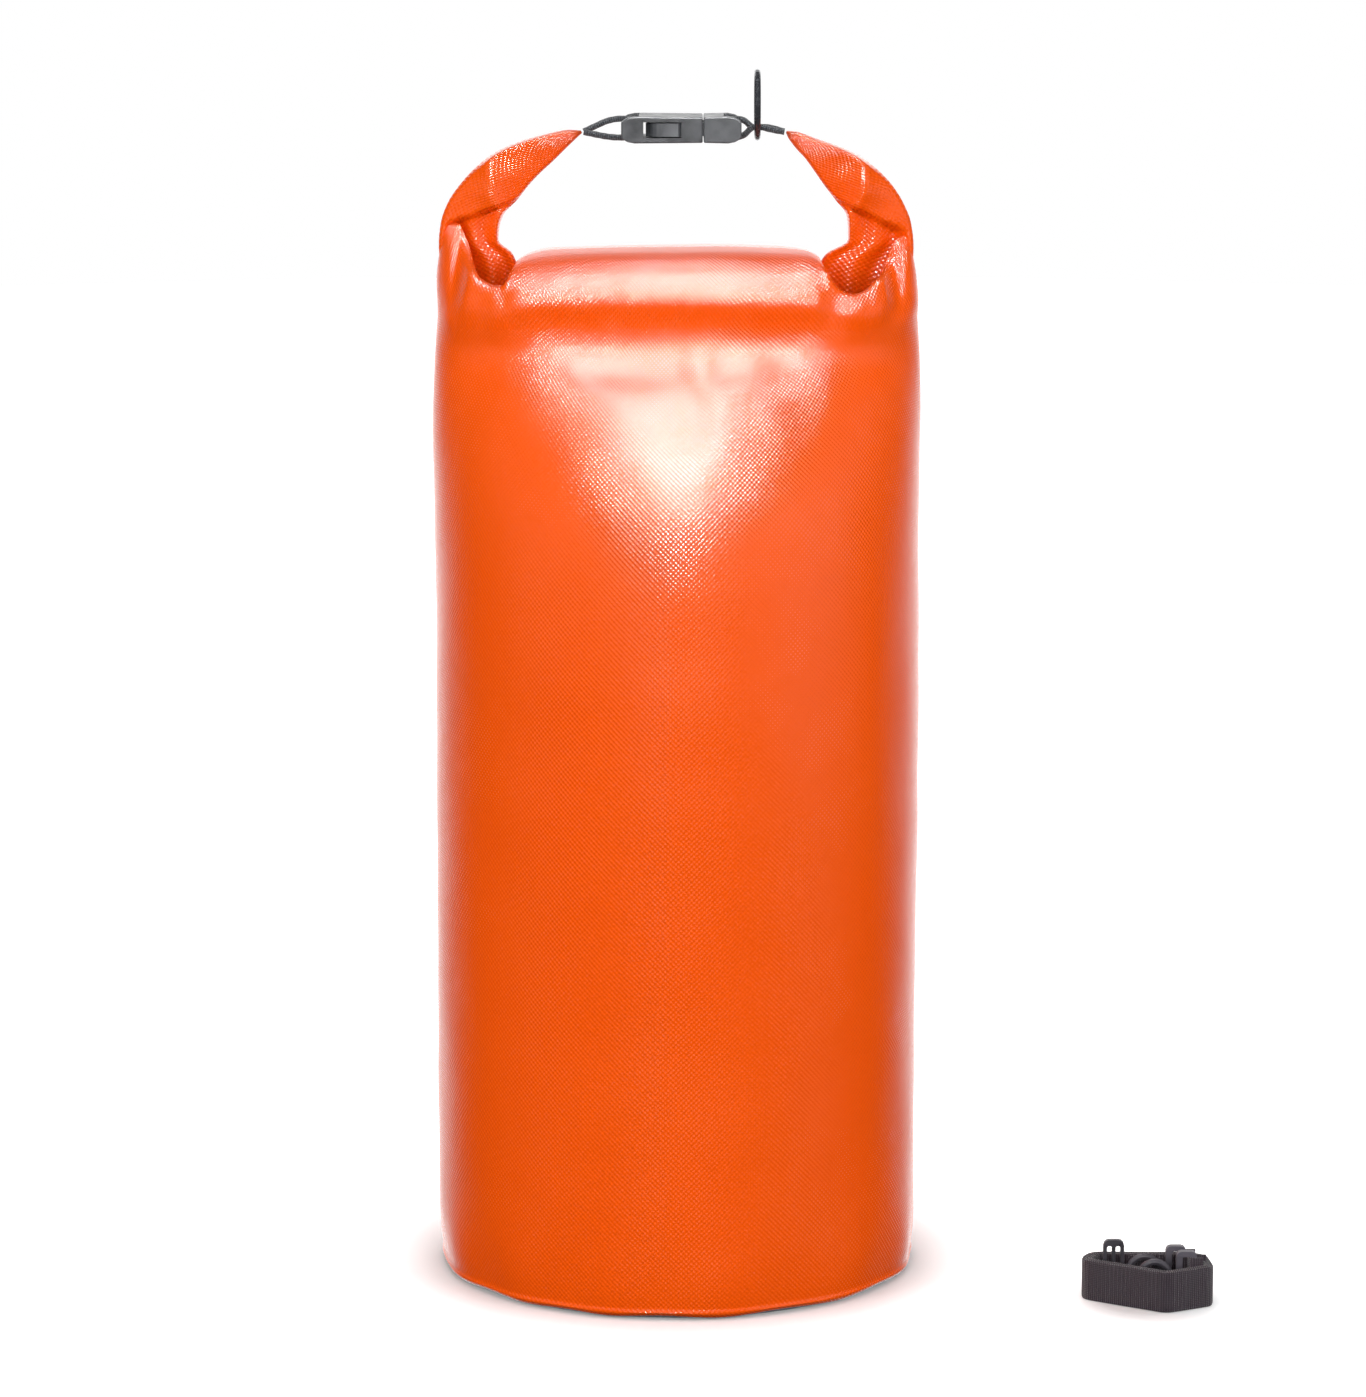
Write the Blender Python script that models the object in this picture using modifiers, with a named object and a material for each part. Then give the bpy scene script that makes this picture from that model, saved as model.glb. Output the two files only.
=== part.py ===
"""Roll-top dry bag with a corded side-release buckle, a ring and a detachable shoulder strap.

Metres, +Z up. The origin is the centre of the flat base, on the ground. The front of the bag
faces -Y and its mouth is rolled down along X. Every moving piece hangs from an empty that
stands on its joint's axis.
"""

import math

import bmesh
import bpy
from mathutils import Matrix, Vector

# Bag
BAG_RADIUS = 0.120
BASE_RADIUS = 0.1165
WALL = 0.001
SHOULDER_Z = 0.36
SHOULDER_FULLNESS = 3.0
NECK_HALF_WIDTH = 0.100
NECK_SIDE_Z = 0.4735
NECK_FRONT_Z = 0.500
NECK_FRONT_DEPTH = 0.008
NECK_BACK_Z = 0.4735
NECK_BACK_DEPTH = 0.034
TUBE_BOTTOM_Z = 0.0015
BASE_TURN_HEIGHT = 0.03
RIM_HEIGHT = 0.014

# Rolled mouth
ROLL_BOTTOM_Z = 0.4745
ROLL_TOP_Z = 0.513
ROLL_FRONT_Y = -0.004
ROLL_BACK_Y = 0.032
ROLL_ROUNDING = 0.012
STIFFENER_HEIGHT = 0.020
STIFFENER_THICKNESS = 0.001
STIFFENER_END_INSET = 0.004

# Upturned ends of the roll, symmetric about CLOSURE_X
CLOSURE_X = 0.0035
SWING_OFFSET = 0.105
SWING_Z = 0.4955
END_REACH = 0.0547
END_RISE = 0.0719
END_BOW = (-0.004, 0.056)
END_WIDTH = 0.029
END_TIP_WIDTH = 0.004
END_HUB_RADIUS = 0.013
END_HALF_DEPTH = 0.009
END_CLEARANCE = 0.0005
END_FIRST = 0.22

# Buckle
BUCKLE_Z = 0.5698
BUCKLE_HALF_WIDTH = 0.0175
BUCKLE_HALF_HEIGHT = 0.0065
SOCKET_END_X = -0.0271
SOCKET_MOUTH_X = 0.0126
PLUG_FACE_X = 0.0131
PLUG_END_X = 0.0315
CORD_BAR = 0.0036
CORD_SLOT = 0.005
CORD_SLOT_HALF_WIDTH = 0.013
BAR_HALF_HEIGHT = 0.0018
CAVITY_END_X = -0.0165
WINDOW_END_X = 0.0022
CAVITY_HALF_WIDTH = 0.0155
CAVITY_HALF_HEIGHT = 0.0038
PRONG_PIVOT_X = 0.0148
PRONG_PIVOT_Y = 0.0110
PRONG_HALF_HEIGHT = 0.0032
PRONG_ROOT_RADIUS = 0.0016
TONGUE_END_X = -0.008
TONGUE_HALF_WIDTH = 0.004
TONGUE_HALF_HEIGHT = 0.0028

# Cords and ring
CORD_RADIUS = 0.0015
CORD_SPREAD = 0.0018
CORD_LOOP_RADIUS = 0.0044
CORD_TIP_INSET = 0.0012
CORD_TIP_Z = 0.5680
RING_X = 0.0394
RING_RADIUS = 0.016
RING_WIRE = 0.0015
CORD_AT_RING_Z = 0.5702
RING_BELOW_CORD = 0.0036

# Shoulder strap, coiled on the ground beside the bag
WEBBING_WIDTH = 0.020
WEBBING_STACK = 0.0055
COIL_CORNERS = (
    ((0.1965, -0.0800), 0.008),
    ((0.2387, -0.1070), 0.008),
    ((0.2645, -0.0940), 0.008),
    ((0.2625, -0.0670), 0.010),
    ((0.2045, -0.0650), 0.009),
)
HARDWARE_Z = 0.0004
SLIDER_CENTRE = (0.2151, -0.0762)
SLIDER_SIZE = (0.0103, 0.029)
SLIDER_SLOT = (0.0024, 0.0225)
SLIDER_SLOT_SHIFT = 0.0021
SLIDER_THICKNESS = 0.003
HOOK_A_END = (0.2507, -0.0765)
HOOK_B_END = (0.2550, -0.0865)
EYE_SIZE = (0.010, 0.026)
EYE_SLOT = (0.004, 0.0206)
HOOK_HALF_THICKNESS = 0.002
HOOK_STOCK = 0.0017
BOW_RADIUS = 0.0074
BOW_CENTRE = (0.0205, 0.013)
BOW_START_DEG = 207
BOW_END_DEG = -48
GATE_ROOT = (-0.0054, -0.0054)
GATE_TIP = (0.0024, -0.0033)
GATE_RADIUS = 0.0013

GAP = 0.0003
LONG_CUT = 0.05


# ---------------------------------------------------------------- scene and materials


def clear_scene():
    for obj in list(bpy.data.objects):
        bpy.data.objects.remove(obj, do_unlink=True)


def new_collection(name):
    collection = bpy.data.collections.new(name)
    bpy.context.scene.collection.children.link(collection)
    return collection


def new_material(name, colour, roughness, metallic=0.0):
    made = bpy.data.materials.new(name)
    made.use_nodes = True
    shader = made.node_tree.nodes["Principled BSDF"]
    shader.inputs["Base Color"].default_value = (*colour, 1.0)
    shader.inputs["Roughness"].default_value = roughness
    shader.inputs["Metallic"].default_value = metallic
    return made


clear_scene()
PARTS = new_collection("dry_bag")
CUTTERS = new_collection("cutters")

COATED_FABRIC = new_material("coated_fabric", (0.87, 0.105, 0.008), 0.32)
BASE_FABRIC = new_material("base_fabric", (0.20, 0.20, 0.21), 0.5)
STRIP_PLASTIC = new_material("strip_plastic", (0.05, 0.05, 0.055), 0.6)
BUCKLE_PLASTIC = new_material("buckle_plastic", (0.035, 0.037, 0.042), 0.42)
BRAID = new_material("braid", (0.03, 0.035, 0.042), 0.8)
DARK_METAL = new_material("dark_metal", (0.10, 0.105, 0.115), 0.22, 1.0)
WEBBING = new_material("webbing", (0.028, 0.024, 0.030), 0.85)
HOOK_PLASTIC = new_material("hook_plastic", (0.030, 0.028, 0.034), 0.5)


# ---------------------------------------------------------------- building helpers


def add_part(name, data, material):
    obj = bpy.data.objects.new(name, data)
    obj.data.materials.append(material)
    PARTS.objects.link(obj)
    return obj


def add_axis(name, location, parent=None):
    """An empty that stands on a joint's axis."""
    axis = bpy.data.objects.new(name, None)
    axis.empty_display_size = 0.01
    axis.location = Vector(location)
    PARTS.objects.link(axis)
    bpy.context.view_layer.update()
    if parent:
        hang(axis, parent)
    return axis


def hang(obj, axis):
    """Parents an object to an axis, and leaves it where it is."""
    obj.parent = axis
    obj.matrix_parent_inverse = axis.matrix_world.inverted()
    bpy.context.view_layer.update()


def smooth_edges(obj, angle_deg=40):
    obj.data.shade_smooth()
    obj.data.set_sharp_from_angle(angle=math.radians(angle_deg))


def mesh_from(curve_obj):
    """The curve's solid as a mesh object with its caps joined on, so that it can be cut."""
    bpy.context.view_layer.update()
    graph = bpy.context.evaluated_depsgraph_get()
    mesh = bpy.data.meshes.new_from_object(curve_obj.evaluated_get(graph))
    shape = bmesh.new()
    shape.from_mesh(mesh)
    bmesh.ops.remove_doubles(shape, verts=shape.verts, dist=1e-6)
    bmesh.ops.recalc_face_normals(shape, faces=shape.faces)
    shape.to_mesh(mesh)
    shape.free()
    name = curve_obj.name
    material = curve_obj.data.materials[0]
    matrix = curve_obj.matrix_world.copy()
    bpy.data.objects.remove(curve_obj, do_unlink=True)
    obj = add_part(name, mesh, material)
    obj.matrix_world = matrix
    return obj


def tube(name, points, radius, material):
    data = bpy.data.curves.new(name, "CURVE")
    data.dimensions = "3D"
    spline = data.splines.new("POLY")
    spline.points.add(len(points) - 1)
    for point, place in zip(spline.points, points):
        point.co = (*place, 1.0)
    data.bevel_depth = radius
    data.bevel_resolution = 2
    data.use_fill_caps = True
    return add_part(name, data, material)


def plate(name, outlines, half_thickness, material, upright=False):
    """A flat piece from one outline and the outlines of its holes, lying in XY or standing in XZ."""
    data = bpy.data.curves.new(name, "CURVE")
    data.dimensions = "2D"
    data.fill_mode = "BOTH"
    data.extrude = half_thickness
    for outline in outlines:
        spline = data.splines.new("POLY")
        spline.points.add(len(outline) - 1)
        for point, (x, y) in zip(spline.points, outline):
            point.co = (x, y, 0.0, 1.0)
        spline.use_cyclic_u = True
    obj = add_part(name, data, material)
    if upright:
        obj.rotation_euler = (math.pi / 2, 0.0, 0.0)
    return obj


def box_mesh(name, low, high):
    size = Vector(high) - Vector(low)
    shape = bmesh.new()
    bmesh.ops.create_cube(shape, size=1.0, matrix=Matrix.Diagonal((*size, 1.0)))
    mesh = bpy.data.meshes.new(name)
    shape.to_mesh(mesh)
    shape.free()
    return mesh


def box(name, low, high, material):
    obj = add_part(name, box_mesh(name, low, high), material)
    obj.location = (Vector(low) + Vector(high)) / 2
    return obj


def box_cutter(name, low, high):
    cutter = bpy.data.objects.new(name, box_mesh(name, low, high))
    cutter.location = (Vector(low) + Vector(high)) / 2
    as_cutter(cutter)
    return cutter


def as_cutter(obj):
    for collection in list(obj.users_collection):
        collection.objects.unlink(obj)
    CUTTERS.objects.link(obj)
    obj.hide_render = True
    obj.display_type = "WIRE"


def combine(obj, other, operation="DIFFERENCE"):
    modifier = obj.modifiers.new(other.name, "BOOLEAN")
    modifier.operation = operation
    modifier.object = other
    modifier.solver = "EXACT"


def round_edges(obj, width, segments=2):
    if obj.type == "CURVE":
        weld = obj.modifiers.new("weld", "WELD")
        weld.merge_threshold = 1e-6
    bevel = obj.modifiers.new("round", "BEVEL")
    bevel.width = width
    bevel.segments = segments
    bevel.limit_method = "ANGLE"
    bevel.angle_limit = math.radians(35)


def arc(centre, radius, start_deg, end_deg, steps):
    """Points along an arc in a plane, both ends included."""
    points = []
    for step in range(steps + 1):
        angle = math.radians(start_deg + (end_deg - start_deg) * step / steps)
        points.append((centre[0] + radius * math.cos(angle), centre[1] + radius * math.sin(angle)))
    return points


def rounded_rectangle(centre, size, radius, steps=3):
    outline = []
    for sign_x, sign_y, start in ((1, 1, 0), (-1, 1, 90), (-1, -1, 180), (1, -1, 270)):
        corner = (
            centre[0] + sign_x * (size[0] / 2 - radius),
            centre[1] + sign_y * (size[1] / 2 - radius),
        )
        outline += arc(corner, radius, start, start + 90, steps)
    return outline


def rounded_polygon(corners, steps=5):
    """A closed anticlockwise outline through (point, radius) corners, each rounded by a fillet."""
    outline = []
    count = len(corners)
    for index, (corner, radius) in enumerate(corners):
        here = Vector(corner)
        back = (Vector(corners[index - 1][0]) - here).normalized()
        ahead = (Vector(corners[(index + 1) % count][0]) - here).normalized()
        half_angle = back.angle(ahead) / 2
        start = here + back * radius / math.tan(half_angle)
        centre = here + (back + ahead).normalized() * radius / math.sin(half_angle)
        spoke = start - centre
        first = math.degrees(math.atan2(spoke.y, spoke.x))
        turn = 180 - math.degrees(2 * half_angle)
        outline += arc(tuple(centre), radius, first, first + turn, steps)
    return outline


def smooth_route(points, steps):
    """A Catmull-Rom curve through the points, with the given number of steps in each span."""
    knots = [Vector(point) for point in points]
    knots = [2 * knots[0] - knots[1], *knots, 2 * knots[-1] - knots[-2]]
    route = []
    for first, second, third, fourth in zip(knots, knots[1:], knots[2:], knots[3:]):
        for step in range(steps):
            t = step / steps
            route.append(
                0.5
                * (
                    2 * second
                    + (third - first) * t
                    + (2 * first - 5 * second + 4 * third - fourth) * t**2
                    + (3 * second - first - 3 * third + fourth) * t**3
                )
            )
    route.append(knots[-2])
    return route


# ---------------------------------------------------------------- bag


def tube_point(angle, share):
    """A point of the drawn-in top: share runs from 0 at the shoulder to 1 at the neck's edge.

    The front is full and reaches up to the roll's crest, and the back stops under the roll.
    """
    across, towards = math.cos(angle), math.sin(angle)
    front = towards < 0
    edge_z = NECK_SIDE_Z + ((NECK_FRONT_Z if front else NECK_BACK_Z) - NECK_SIDE_Z) * towards**2
    edge_depth = NECK_FRONT_DEPTH if front else NECK_BACK_DEPTH
    half_width = NECK_HALF_WIDTH + (BAG_RADIUS - NECK_HALF_WIDTH) * (1 - share**5)
    half_depth = edge_depth + (BAG_RADIUS - edge_depth) * (1 - share**SHOULDER_FULLNESS)
    z = SHOULDER_Z + (edge_z - SHOULDER_Z) * share
    return half_width * across, half_depth * towards, z


def base_radius(z):
    """The tube's radius just above the base, where its lower edge turns in."""
    rise = min((z - TUBE_BOTTOM_Z) / BASE_TURN_HEIGHT, 1.0)
    return BASE_RADIUS + (BAG_RADIUS - BASE_RADIUS) * math.sqrt(rise * (2 - rise))


def make_bag_tube():
    """The wall: a loft from a round base to a flat neck, which stays open under the roll."""
    sides = 32
    shoulder_rings = 8
    places = []
    for z in (TUBE_BOTTOM_Z, 0.006, 0.014, 0.032, 0.12, 0.24):
        radius = base_radius(z)
        places.append(lambda angle, r=radius, h=z: (r * math.cos(angle), r * math.sin(angle), h))
    for ring in range(shoulder_rings + 1):
        share = math.sin(math.pi / 2 * ring / shoulder_rings)
        places.append(lambda angle, s=share: tube_point(angle, s))
    shape = bmesh.new()
    rings = []
    for place in places:
        rings.append([shape.verts.new(place(2 * math.pi * side / sides)) for side in range(sides)])
    for lower, upper in zip(rings, rings[1:]):
        for side in range(sides):
            after = (side + 1) % sides
            shape.faces.new((lower[side], lower[after], upper[after], upper[side]))
    mesh = bpy.data.meshes.new("bag_tube")
    shape.to_mesh(mesh)
    shape.free()
    obj = add_part("bag_tube", mesh, COATED_FABRIC)
    smooth_edges(obj)
    shell = obj.modifiers.new("wall", "SOLIDIFY")
    shell.thickness = WALL
    shell.offset = -1.0
    return obj


def make_bottom_disc():
    """The base panel: a flat disc whose rim is turned up inside the tube."""
    rim_outer = BASE_RADIUS - WALL - 0.001
    rim_inner = rim_outer - 0.0015
    profile = (
        (0.0, 0.0015),
        (rim_inner - 0.002, 0.0015),
        (rim_inner, 0.0035),
        (rim_inner, RIM_HEIGHT),
        (rim_outer, RIM_HEIGHT),
        (rim_outer, 0.002),
        (rim_outer - 0.002, 0.0),
        (0.0, 0.0),
    )
    shape = bmesh.new()
    verts = [shape.verts.new((x, 0.0, z)) for x, z in profile]
    for start, end in zip(verts, verts[1:]):
        shape.edges.new((start, end))
    mesh = bpy.data.meshes.new("bottom_disc")
    shape.to_mesh(mesh)
    shape.free()
    obj = add_part("bottom_disc", mesh, BASE_FABRIC)
    screw = obj.modifiers.new("turn", "SCREW")
    screw.steps = 48
    screw.render_steps = 48
    screw.use_merge_vertices = True
    screw.merge_threshold = 1e-5
    screw.use_normal_calculate = True
    return obj


def roll_ends_x():
    """Where the straight roll stops, just short of the hub of each upturned end."""
    left = CLOSURE_X - SWING_OFFSET + END_HUB_RADIUS + END_CLEARANCE
    right = CLOSURE_X + SWING_OFFSET - END_HUB_RADIUS - END_CLEARANCE
    return left, right


def roll_middle():
    return (ROLL_FRONT_Y + ROLL_BACK_Y) / 2, (ROLL_BOTTOM_Z + ROLL_TOP_Z) / 2


def make_rolled_collar():
    """The mouth rolled down on itself, with the pocket that holds the two stiffening strips."""
    left, right = roll_ends_x()
    obj = box(
        "rolled_collar",
        (left, ROLL_FRONT_Y, ROLL_BOTTOM_Z),
        (right, ROLL_BACK_Y, ROLL_TOP_Z),
        COATED_FABRIC,
    )
    round_edges(obj, ROLL_ROUNDING, segments=4)
    middle_y, middle_z = roll_middle()
    half_pocket = STIFFENER_THICKNESS + 2 * GAP
    pocket = box_cutter(
        "stiffener_pocket",
        (left - LONG_CUT, middle_y - half_pocket, middle_z - STIFFENER_HEIGHT / 2 - GAP),
        (right + LONG_CUT, middle_y + half_pocket, middle_z + STIFFENER_HEIGHT / 2 + GAP),
    )
    combine(obj, pocket)
    return obj


def make_stiffener(name, side):
    """A plastic strip welded into the hem: side is -1 for the front layer and 1 for the back."""
    left, right = roll_ends_x()
    middle_y, middle_z = roll_middle()
    near = middle_y + side * GAP / 2
    far = middle_y + side * (GAP / 2 + STIFFENER_THICKNESS)
    return box(
        name,
        (left + STIFFENER_END_INSET, min(near, far), middle_z - STIFFENER_HEIGHT / 2),
        (right - STIFFENER_END_INSET, max(near, far), middle_z + STIFFENER_HEIGHT / 2),
        STRIP_PLASTIC,
    )


def roll_end_outline(side):
    """The upturned end seen from the front, about its pivot: side is 1 on the left, -1 on the right."""
    steps = 10
    edges = ([], [])
    for step in range(1, steps + 1):
        t = END_FIRST + (1 - END_FIRST) * step / steps
        bow = 2 * t * (1 - t)
        x = bow * END_BOW[0] + t**2 * END_REACH
        z = bow * END_BOW[1] + t**2 * END_RISE
        along = Vector(
            (
                2 * (1 - 2 * t) * END_BOW[0] + 2 * t * END_REACH,
                2 * (1 - 2 * t) * END_BOW[1] + 2 * t * END_RISE,
            )
        ).normalized()
        half = (END_WIDTH * math.sqrt(max(1 - t**2.2, 0.0)) + END_TIP_WIDTH) / 2
        edges[0].append((side * (x + along.y * half), z - along.x * half))
        edges[1].append((side * (x - along.y * half), z + along.x * half))
    hub = arc((0.0, 0.0), END_HUB_RADIUS, 160, 360, 9)
    hub.append((END_HUB_RADIUS, ROLL_TOP_Z - SWING_Z + END_CLEARANCE))
    return [(side * x, z) for x, z in hub] + edges[0] + edges[1][::-1]


def make_roll_end(name, side, axis):
    obj = plate(name, [roll_end_outline(side)], END_HALF_DEPTH, COATED_FABRIC, upright=True)
    obj.location = axis.location
    round_edges(obj, 0.003)
    hang(obj, axis)
    return obj


# ---------------------------------------------------------------- buckle, cords and ring


def buckle_profile(end_x, face_x):
    """Half of a buckle from the side: full height at its face, chamfered down to its cord bar."""
    away = 1 if face_x > end_x else -1
    lows = ((0.0, 0.0040), (0.0030, 0.0058), (0.0065, BUCKLE_HALF_HEIGHT))
    upper = [(end_x + away * inset, height) for inset, height in lows]
    upper.append((face_x, BUCKLE_HALF_HEIGHT - 0.0003))
    lower = [(x, -height) for x, height in reversed(upper)]
    return upper + lower


def cord_slot_cutters(name, end_x, away):
    """The slot behind the cord bar, and the recesses that let the cord pass over and under it."""
    slot_near = end_x + away * CORD_BAR
    slot_far = slot_near + away * CORD_SLOT
    wide = CORD_SLOT_HALF_WIDTH
    cuts = [
        box_cutter(
            f"{name}_slot",
            (min(slot_near, slot_far), -wide, BUCKLE_Z - LONG_CUT),
            (max(slot_near, slot_far), wide, BUCKLE_Z + LONG_CUT),
        )
    ]
    outside = end_x - away * LONG_CUT
    for word, sign in (("over", 1), ("under", -1)):
        heights = sorted((BUCKLE_Z + sign * BAR_HALF_HEIGHT, BUCKLE_Z + sign * LONG_CUT))
        cuts.append(
            box_cutter(
                f"{name}_{word}",
                (min(outside, slot_near + away * GAP), -wide, heights[0]),
                (max(outside, slot_near + away * GAP), wide, heights[1]),
            )
        )
    return cuts


def make_buckle_block(name, end_x, face_x, axis):
    obj = plate(name, [buckle_profile(end_x, face_x)], BUCKLE_HALF_WIDTH, BUCKLE_PLASTIC, upright=True)
    obj.location = (0.0, 0.0, BUCKLE_Z)
    obj = mesh_from(obj)
    round_edges(obj, 0.0011)
    away = 1 if face_x > end_x else -1
    for cutter in cord_slot_cutters(name, end_x, away):
        combine(obj, cutter)
    hang(obj, axis)
    return obj


def make_socket(axis):
    obj = make_buckle_block("buckle_socket", SOCKET_END_X, SOCKET_MOUTH_X, axis)
    cavity = box_cutter(
        "socket_cavity",
        (CAVITY_END_X, -CAVITY_HALF_WIDTH, BUCKLE_Z - CAVITY_HALF_HEIGHT),
        (SOCKET_MOUTH_X + LONG_CUT, CAVITY_HALF_WIDTH, BUCKLE_Z + CAVITY_HALF_HEIGHT),
    )
    windows = box_cutter(
        "socket_windows",
        (CAVITY_END_X, -LONG_CUT, BUCKLE_Z - CAVITY_HALF_HEIGHT),
        (WINDOW_END_X, LONG_CUT, BUCKLE_Z + CAVITY_HALF_HEIGHT),
    )
    combine(obj, cavity)
    combine(obj, windows)
    return obj


def make_plug(axis):
    obj = make_buckle_block("buckle_plug", PLUG_END_X, PLUG_FACE_X, axis)
    tongue = box_cutter(
        "plug_tongue",
        (TONGUE_END_X, -TONGUE_HALF_WIDTH, BUCKLE_Z - TONGUE_HALF_HEIGHT),
        (PLUG_FACE_X + 0.002, TONGUE_HALF_WIDTH, BUCKLE_Z + TONGUE_HALF_HEIGHT),
    )
    combine(obj, tongue, "UNION")
    room = PRONG_ROOT_RADIUS + 2 * GAP
    for word, side in (("front", -1), ("back", 1)):
        middle = side * PRONG_PIVOT_Y
        pocket = box_cutter(
            f"{word}_prong_pocket",
            (PLUG_FACE_X - 0.002, middle - room, BUCKLE_Z - PRONG_HALF_HEIGHT - GAP),
            (PRONG_PIVOT_X + room, middle + room, BUCKLE_Z + PRONG_HALF_HEIGHT + GAP),
        )
        combine(obj, pocket)
    return obj


def prong_outline(side):
    """A sprung arm from above, about its pivot: a thin arm that ends in a barbed push button."""
    root = arc((0.0, 0.0), PRONG_ROOT_RADIUS, -90, 90, 5)
    barb_x = WINDOW_END_X - 0.0004 - PRONG_PIVOT_X
    head_x = CAVITY_END_X + 0.0013 - PRONG_PIVOT_X
    button = arc((head_x + 0.0075, -0.0003), 0.0065, 75, 160, 5)
    head = [
        (barb_x, PRONG_ROOT_RADIUS),
        (barb_x, 0.0050),
        (barb_x - 0.0012, 0.0062),
        *button,
        (head_x, 0.0),
        (head_x + 0.0015, -0.0012),
        (barb_x - 0.002, -0.0012),
        (barb_x + 0.002, -PRONG_ROOT_RADIUS + 0.0002),
    ]
    return [(x, side * y) for x, y in root + head]


def make_prong(name, side, axis):
    obj = plate(name, [prong_outline(side)], PRONG_HALF_HEIGHT, BUCKLE_PLASTIC)
    obj.location = axis.matrix_world.translation
    round_edges(obj, 0.0005)
    hang(obj, axis)
    return obj


def bar_centre(end_x, away):
    """The middle of a buckle half's cord bar, about which it turns on its cord."""
    return end_x + away * CORD_BAR / 2


def make_cord(name, tip_x, outer, inner, end_x, away, axis):
    """A loop from the roll end's tip round a buckle half's bar and back beside itself.

    outer and inner are (x, height above the buckle's middle) points from the tip to the bar.
    """
    bar_x = bar_centre(end_x, away)
    tip = (tip_x, CORD_TIP_Z - BUCKLE_Z)
    loop = [
        (bar_x + away * x, z)
        for x, z in arc((0.0, 0.0), CORD_LOOP_RADIUS, 90, -90, 6)
    ]
    upper = [tip, *outer]
    lower = [*inner[::-1], tip]
    points = [(x, CORD_SPREAD, BUCKLE_Z + z) for x, z in upper]
    for index, (x, z) in enumerate(loop):
        side = 1 - 2 * index / (len(loop) - 1)
        points.append((x, side * CORD_SPREAD, BUCKLE_Z + z))
    points += [(x, -CORD_SPREAD, BUCKLE_Z + z) for x, z in lower]
    obj = tube(name, smooth_route(points, 3), CORD_RADIUS, BRAID)
    hang(obj, axis)
    return obj


def make_left_cord(axis):
    outer = ((-0.0400, 0.0008), (-0.0345, 0.0032), (-0.0295, 0.0043))
    inner = ((-0.0400, -0.0030), (-0.0345, -0.0040), (-0.0295, -0.0045))
    tip_x = CLOSURE_X - SWING_OFFSET + END_REACH + CORD_TIP_INSET
    return make_cord("left_cord", tip_x, outer, inner, SOCKET_END_X, 1, axis)


def make_right_cord(axis):
    """Both strands pass side by side through the ring."""
    at_ring = CORD_AT_RING_Z - BUCKLE_Z
    ring_run = ((0.0418, at_ring), (0.0370, at_ring))
    outer = ((0.0460, 0.0000), *ring_run, (0.0332, 0.0034))
    inner = ((0.0460, -0.0006), *ring_run, (0.0332, -0.0030))
    tip_x = CLOSURE_X + SWING_OFFSET - END_REACH - CORD_TIP_INSET
    return make_cord("right_cord", tip_x, outer, inner, PLUG_END_X, -1, axis)


def make_ring(axis):
    bpy.ops.mesh.primitive_torus_add(
        major_segments=36,
        minor_segments=10,
        major_radius=RING_RADIUS,
        minor_radius=RING_WIRE,
        location=(RING_X, 0.0, CORD_AT_RING_Z - RING_BELOW_CORD + RING_RADIUS - RING_WIRE),
        rotation=(0.0, math.pi / 2, 0.0),
    )
    obj = bpy.context.object
    obj.name = "ring"
    obj.data.materials.append(DARK_METAL)
    for collection in list(obj.users_collection):
        collection.objects.unlink(obj)
    PARTS.objects.link(obj)
    smooth_edges(obj)
    hang(obj, axis)
    return obj


# ---------------------------------------------------------------- shoulder strap


def make_strap_webbing(axis):
    """The coiled webbing, standing on its edge: all its turns as one closed band."""
    outline = rounded_polygon(COIL_CORNERS)
    shape = bmesh.new()
    rings = []
    for z in (0.0, WEBBING_WIDTH):
        rings.append([shape.verts.new((x, y, z)) for x, y in outline])
    for index in range(len(outline)):
        after = (index + 1) % len(outline)
        shape.faces.new((rings[0][index], rings[0][after], rings[1][after], rings[1][index]))
    mesh = bpy.data.meshes.new("strap_webbing")
    shape.to_mesh(mesh)
    shape.free()
    obj = add_part("strap_webbing", mesh, WEBBING)
    shell = obj.modifiers.new("turns", "SOLIDIFY")
    shell.thickness = WEBBING_STACK
    shell.offset = -1.0
    hang(obj, axis)
    return obj


def make_slider(axis):
    """The three-bar slider that sets the strap's length."""
    outlines = [rounded_rectangle((0.0, 0.0), SLIDER_SIZE, 0.003)]
    for side in (-1, 1):
        outlines.append(rounded_rectangle((side * SLIDER_SLOT_SHIFT, 0.0), SLIDER_SLOT, 0.0008, 2))
    obj = plate("strap_slider", outlines, SLIDER_THICKNESS / 2, HOOK_PLASTIC, upright=True)
    obj.location = (*SLIDER_CENTRE, HARDWARE_Z + SLIDER_SIZE[1] / 2)
    round_edges(obj, 0.0005)
    hang(obj, axis)
    return obj


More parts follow.
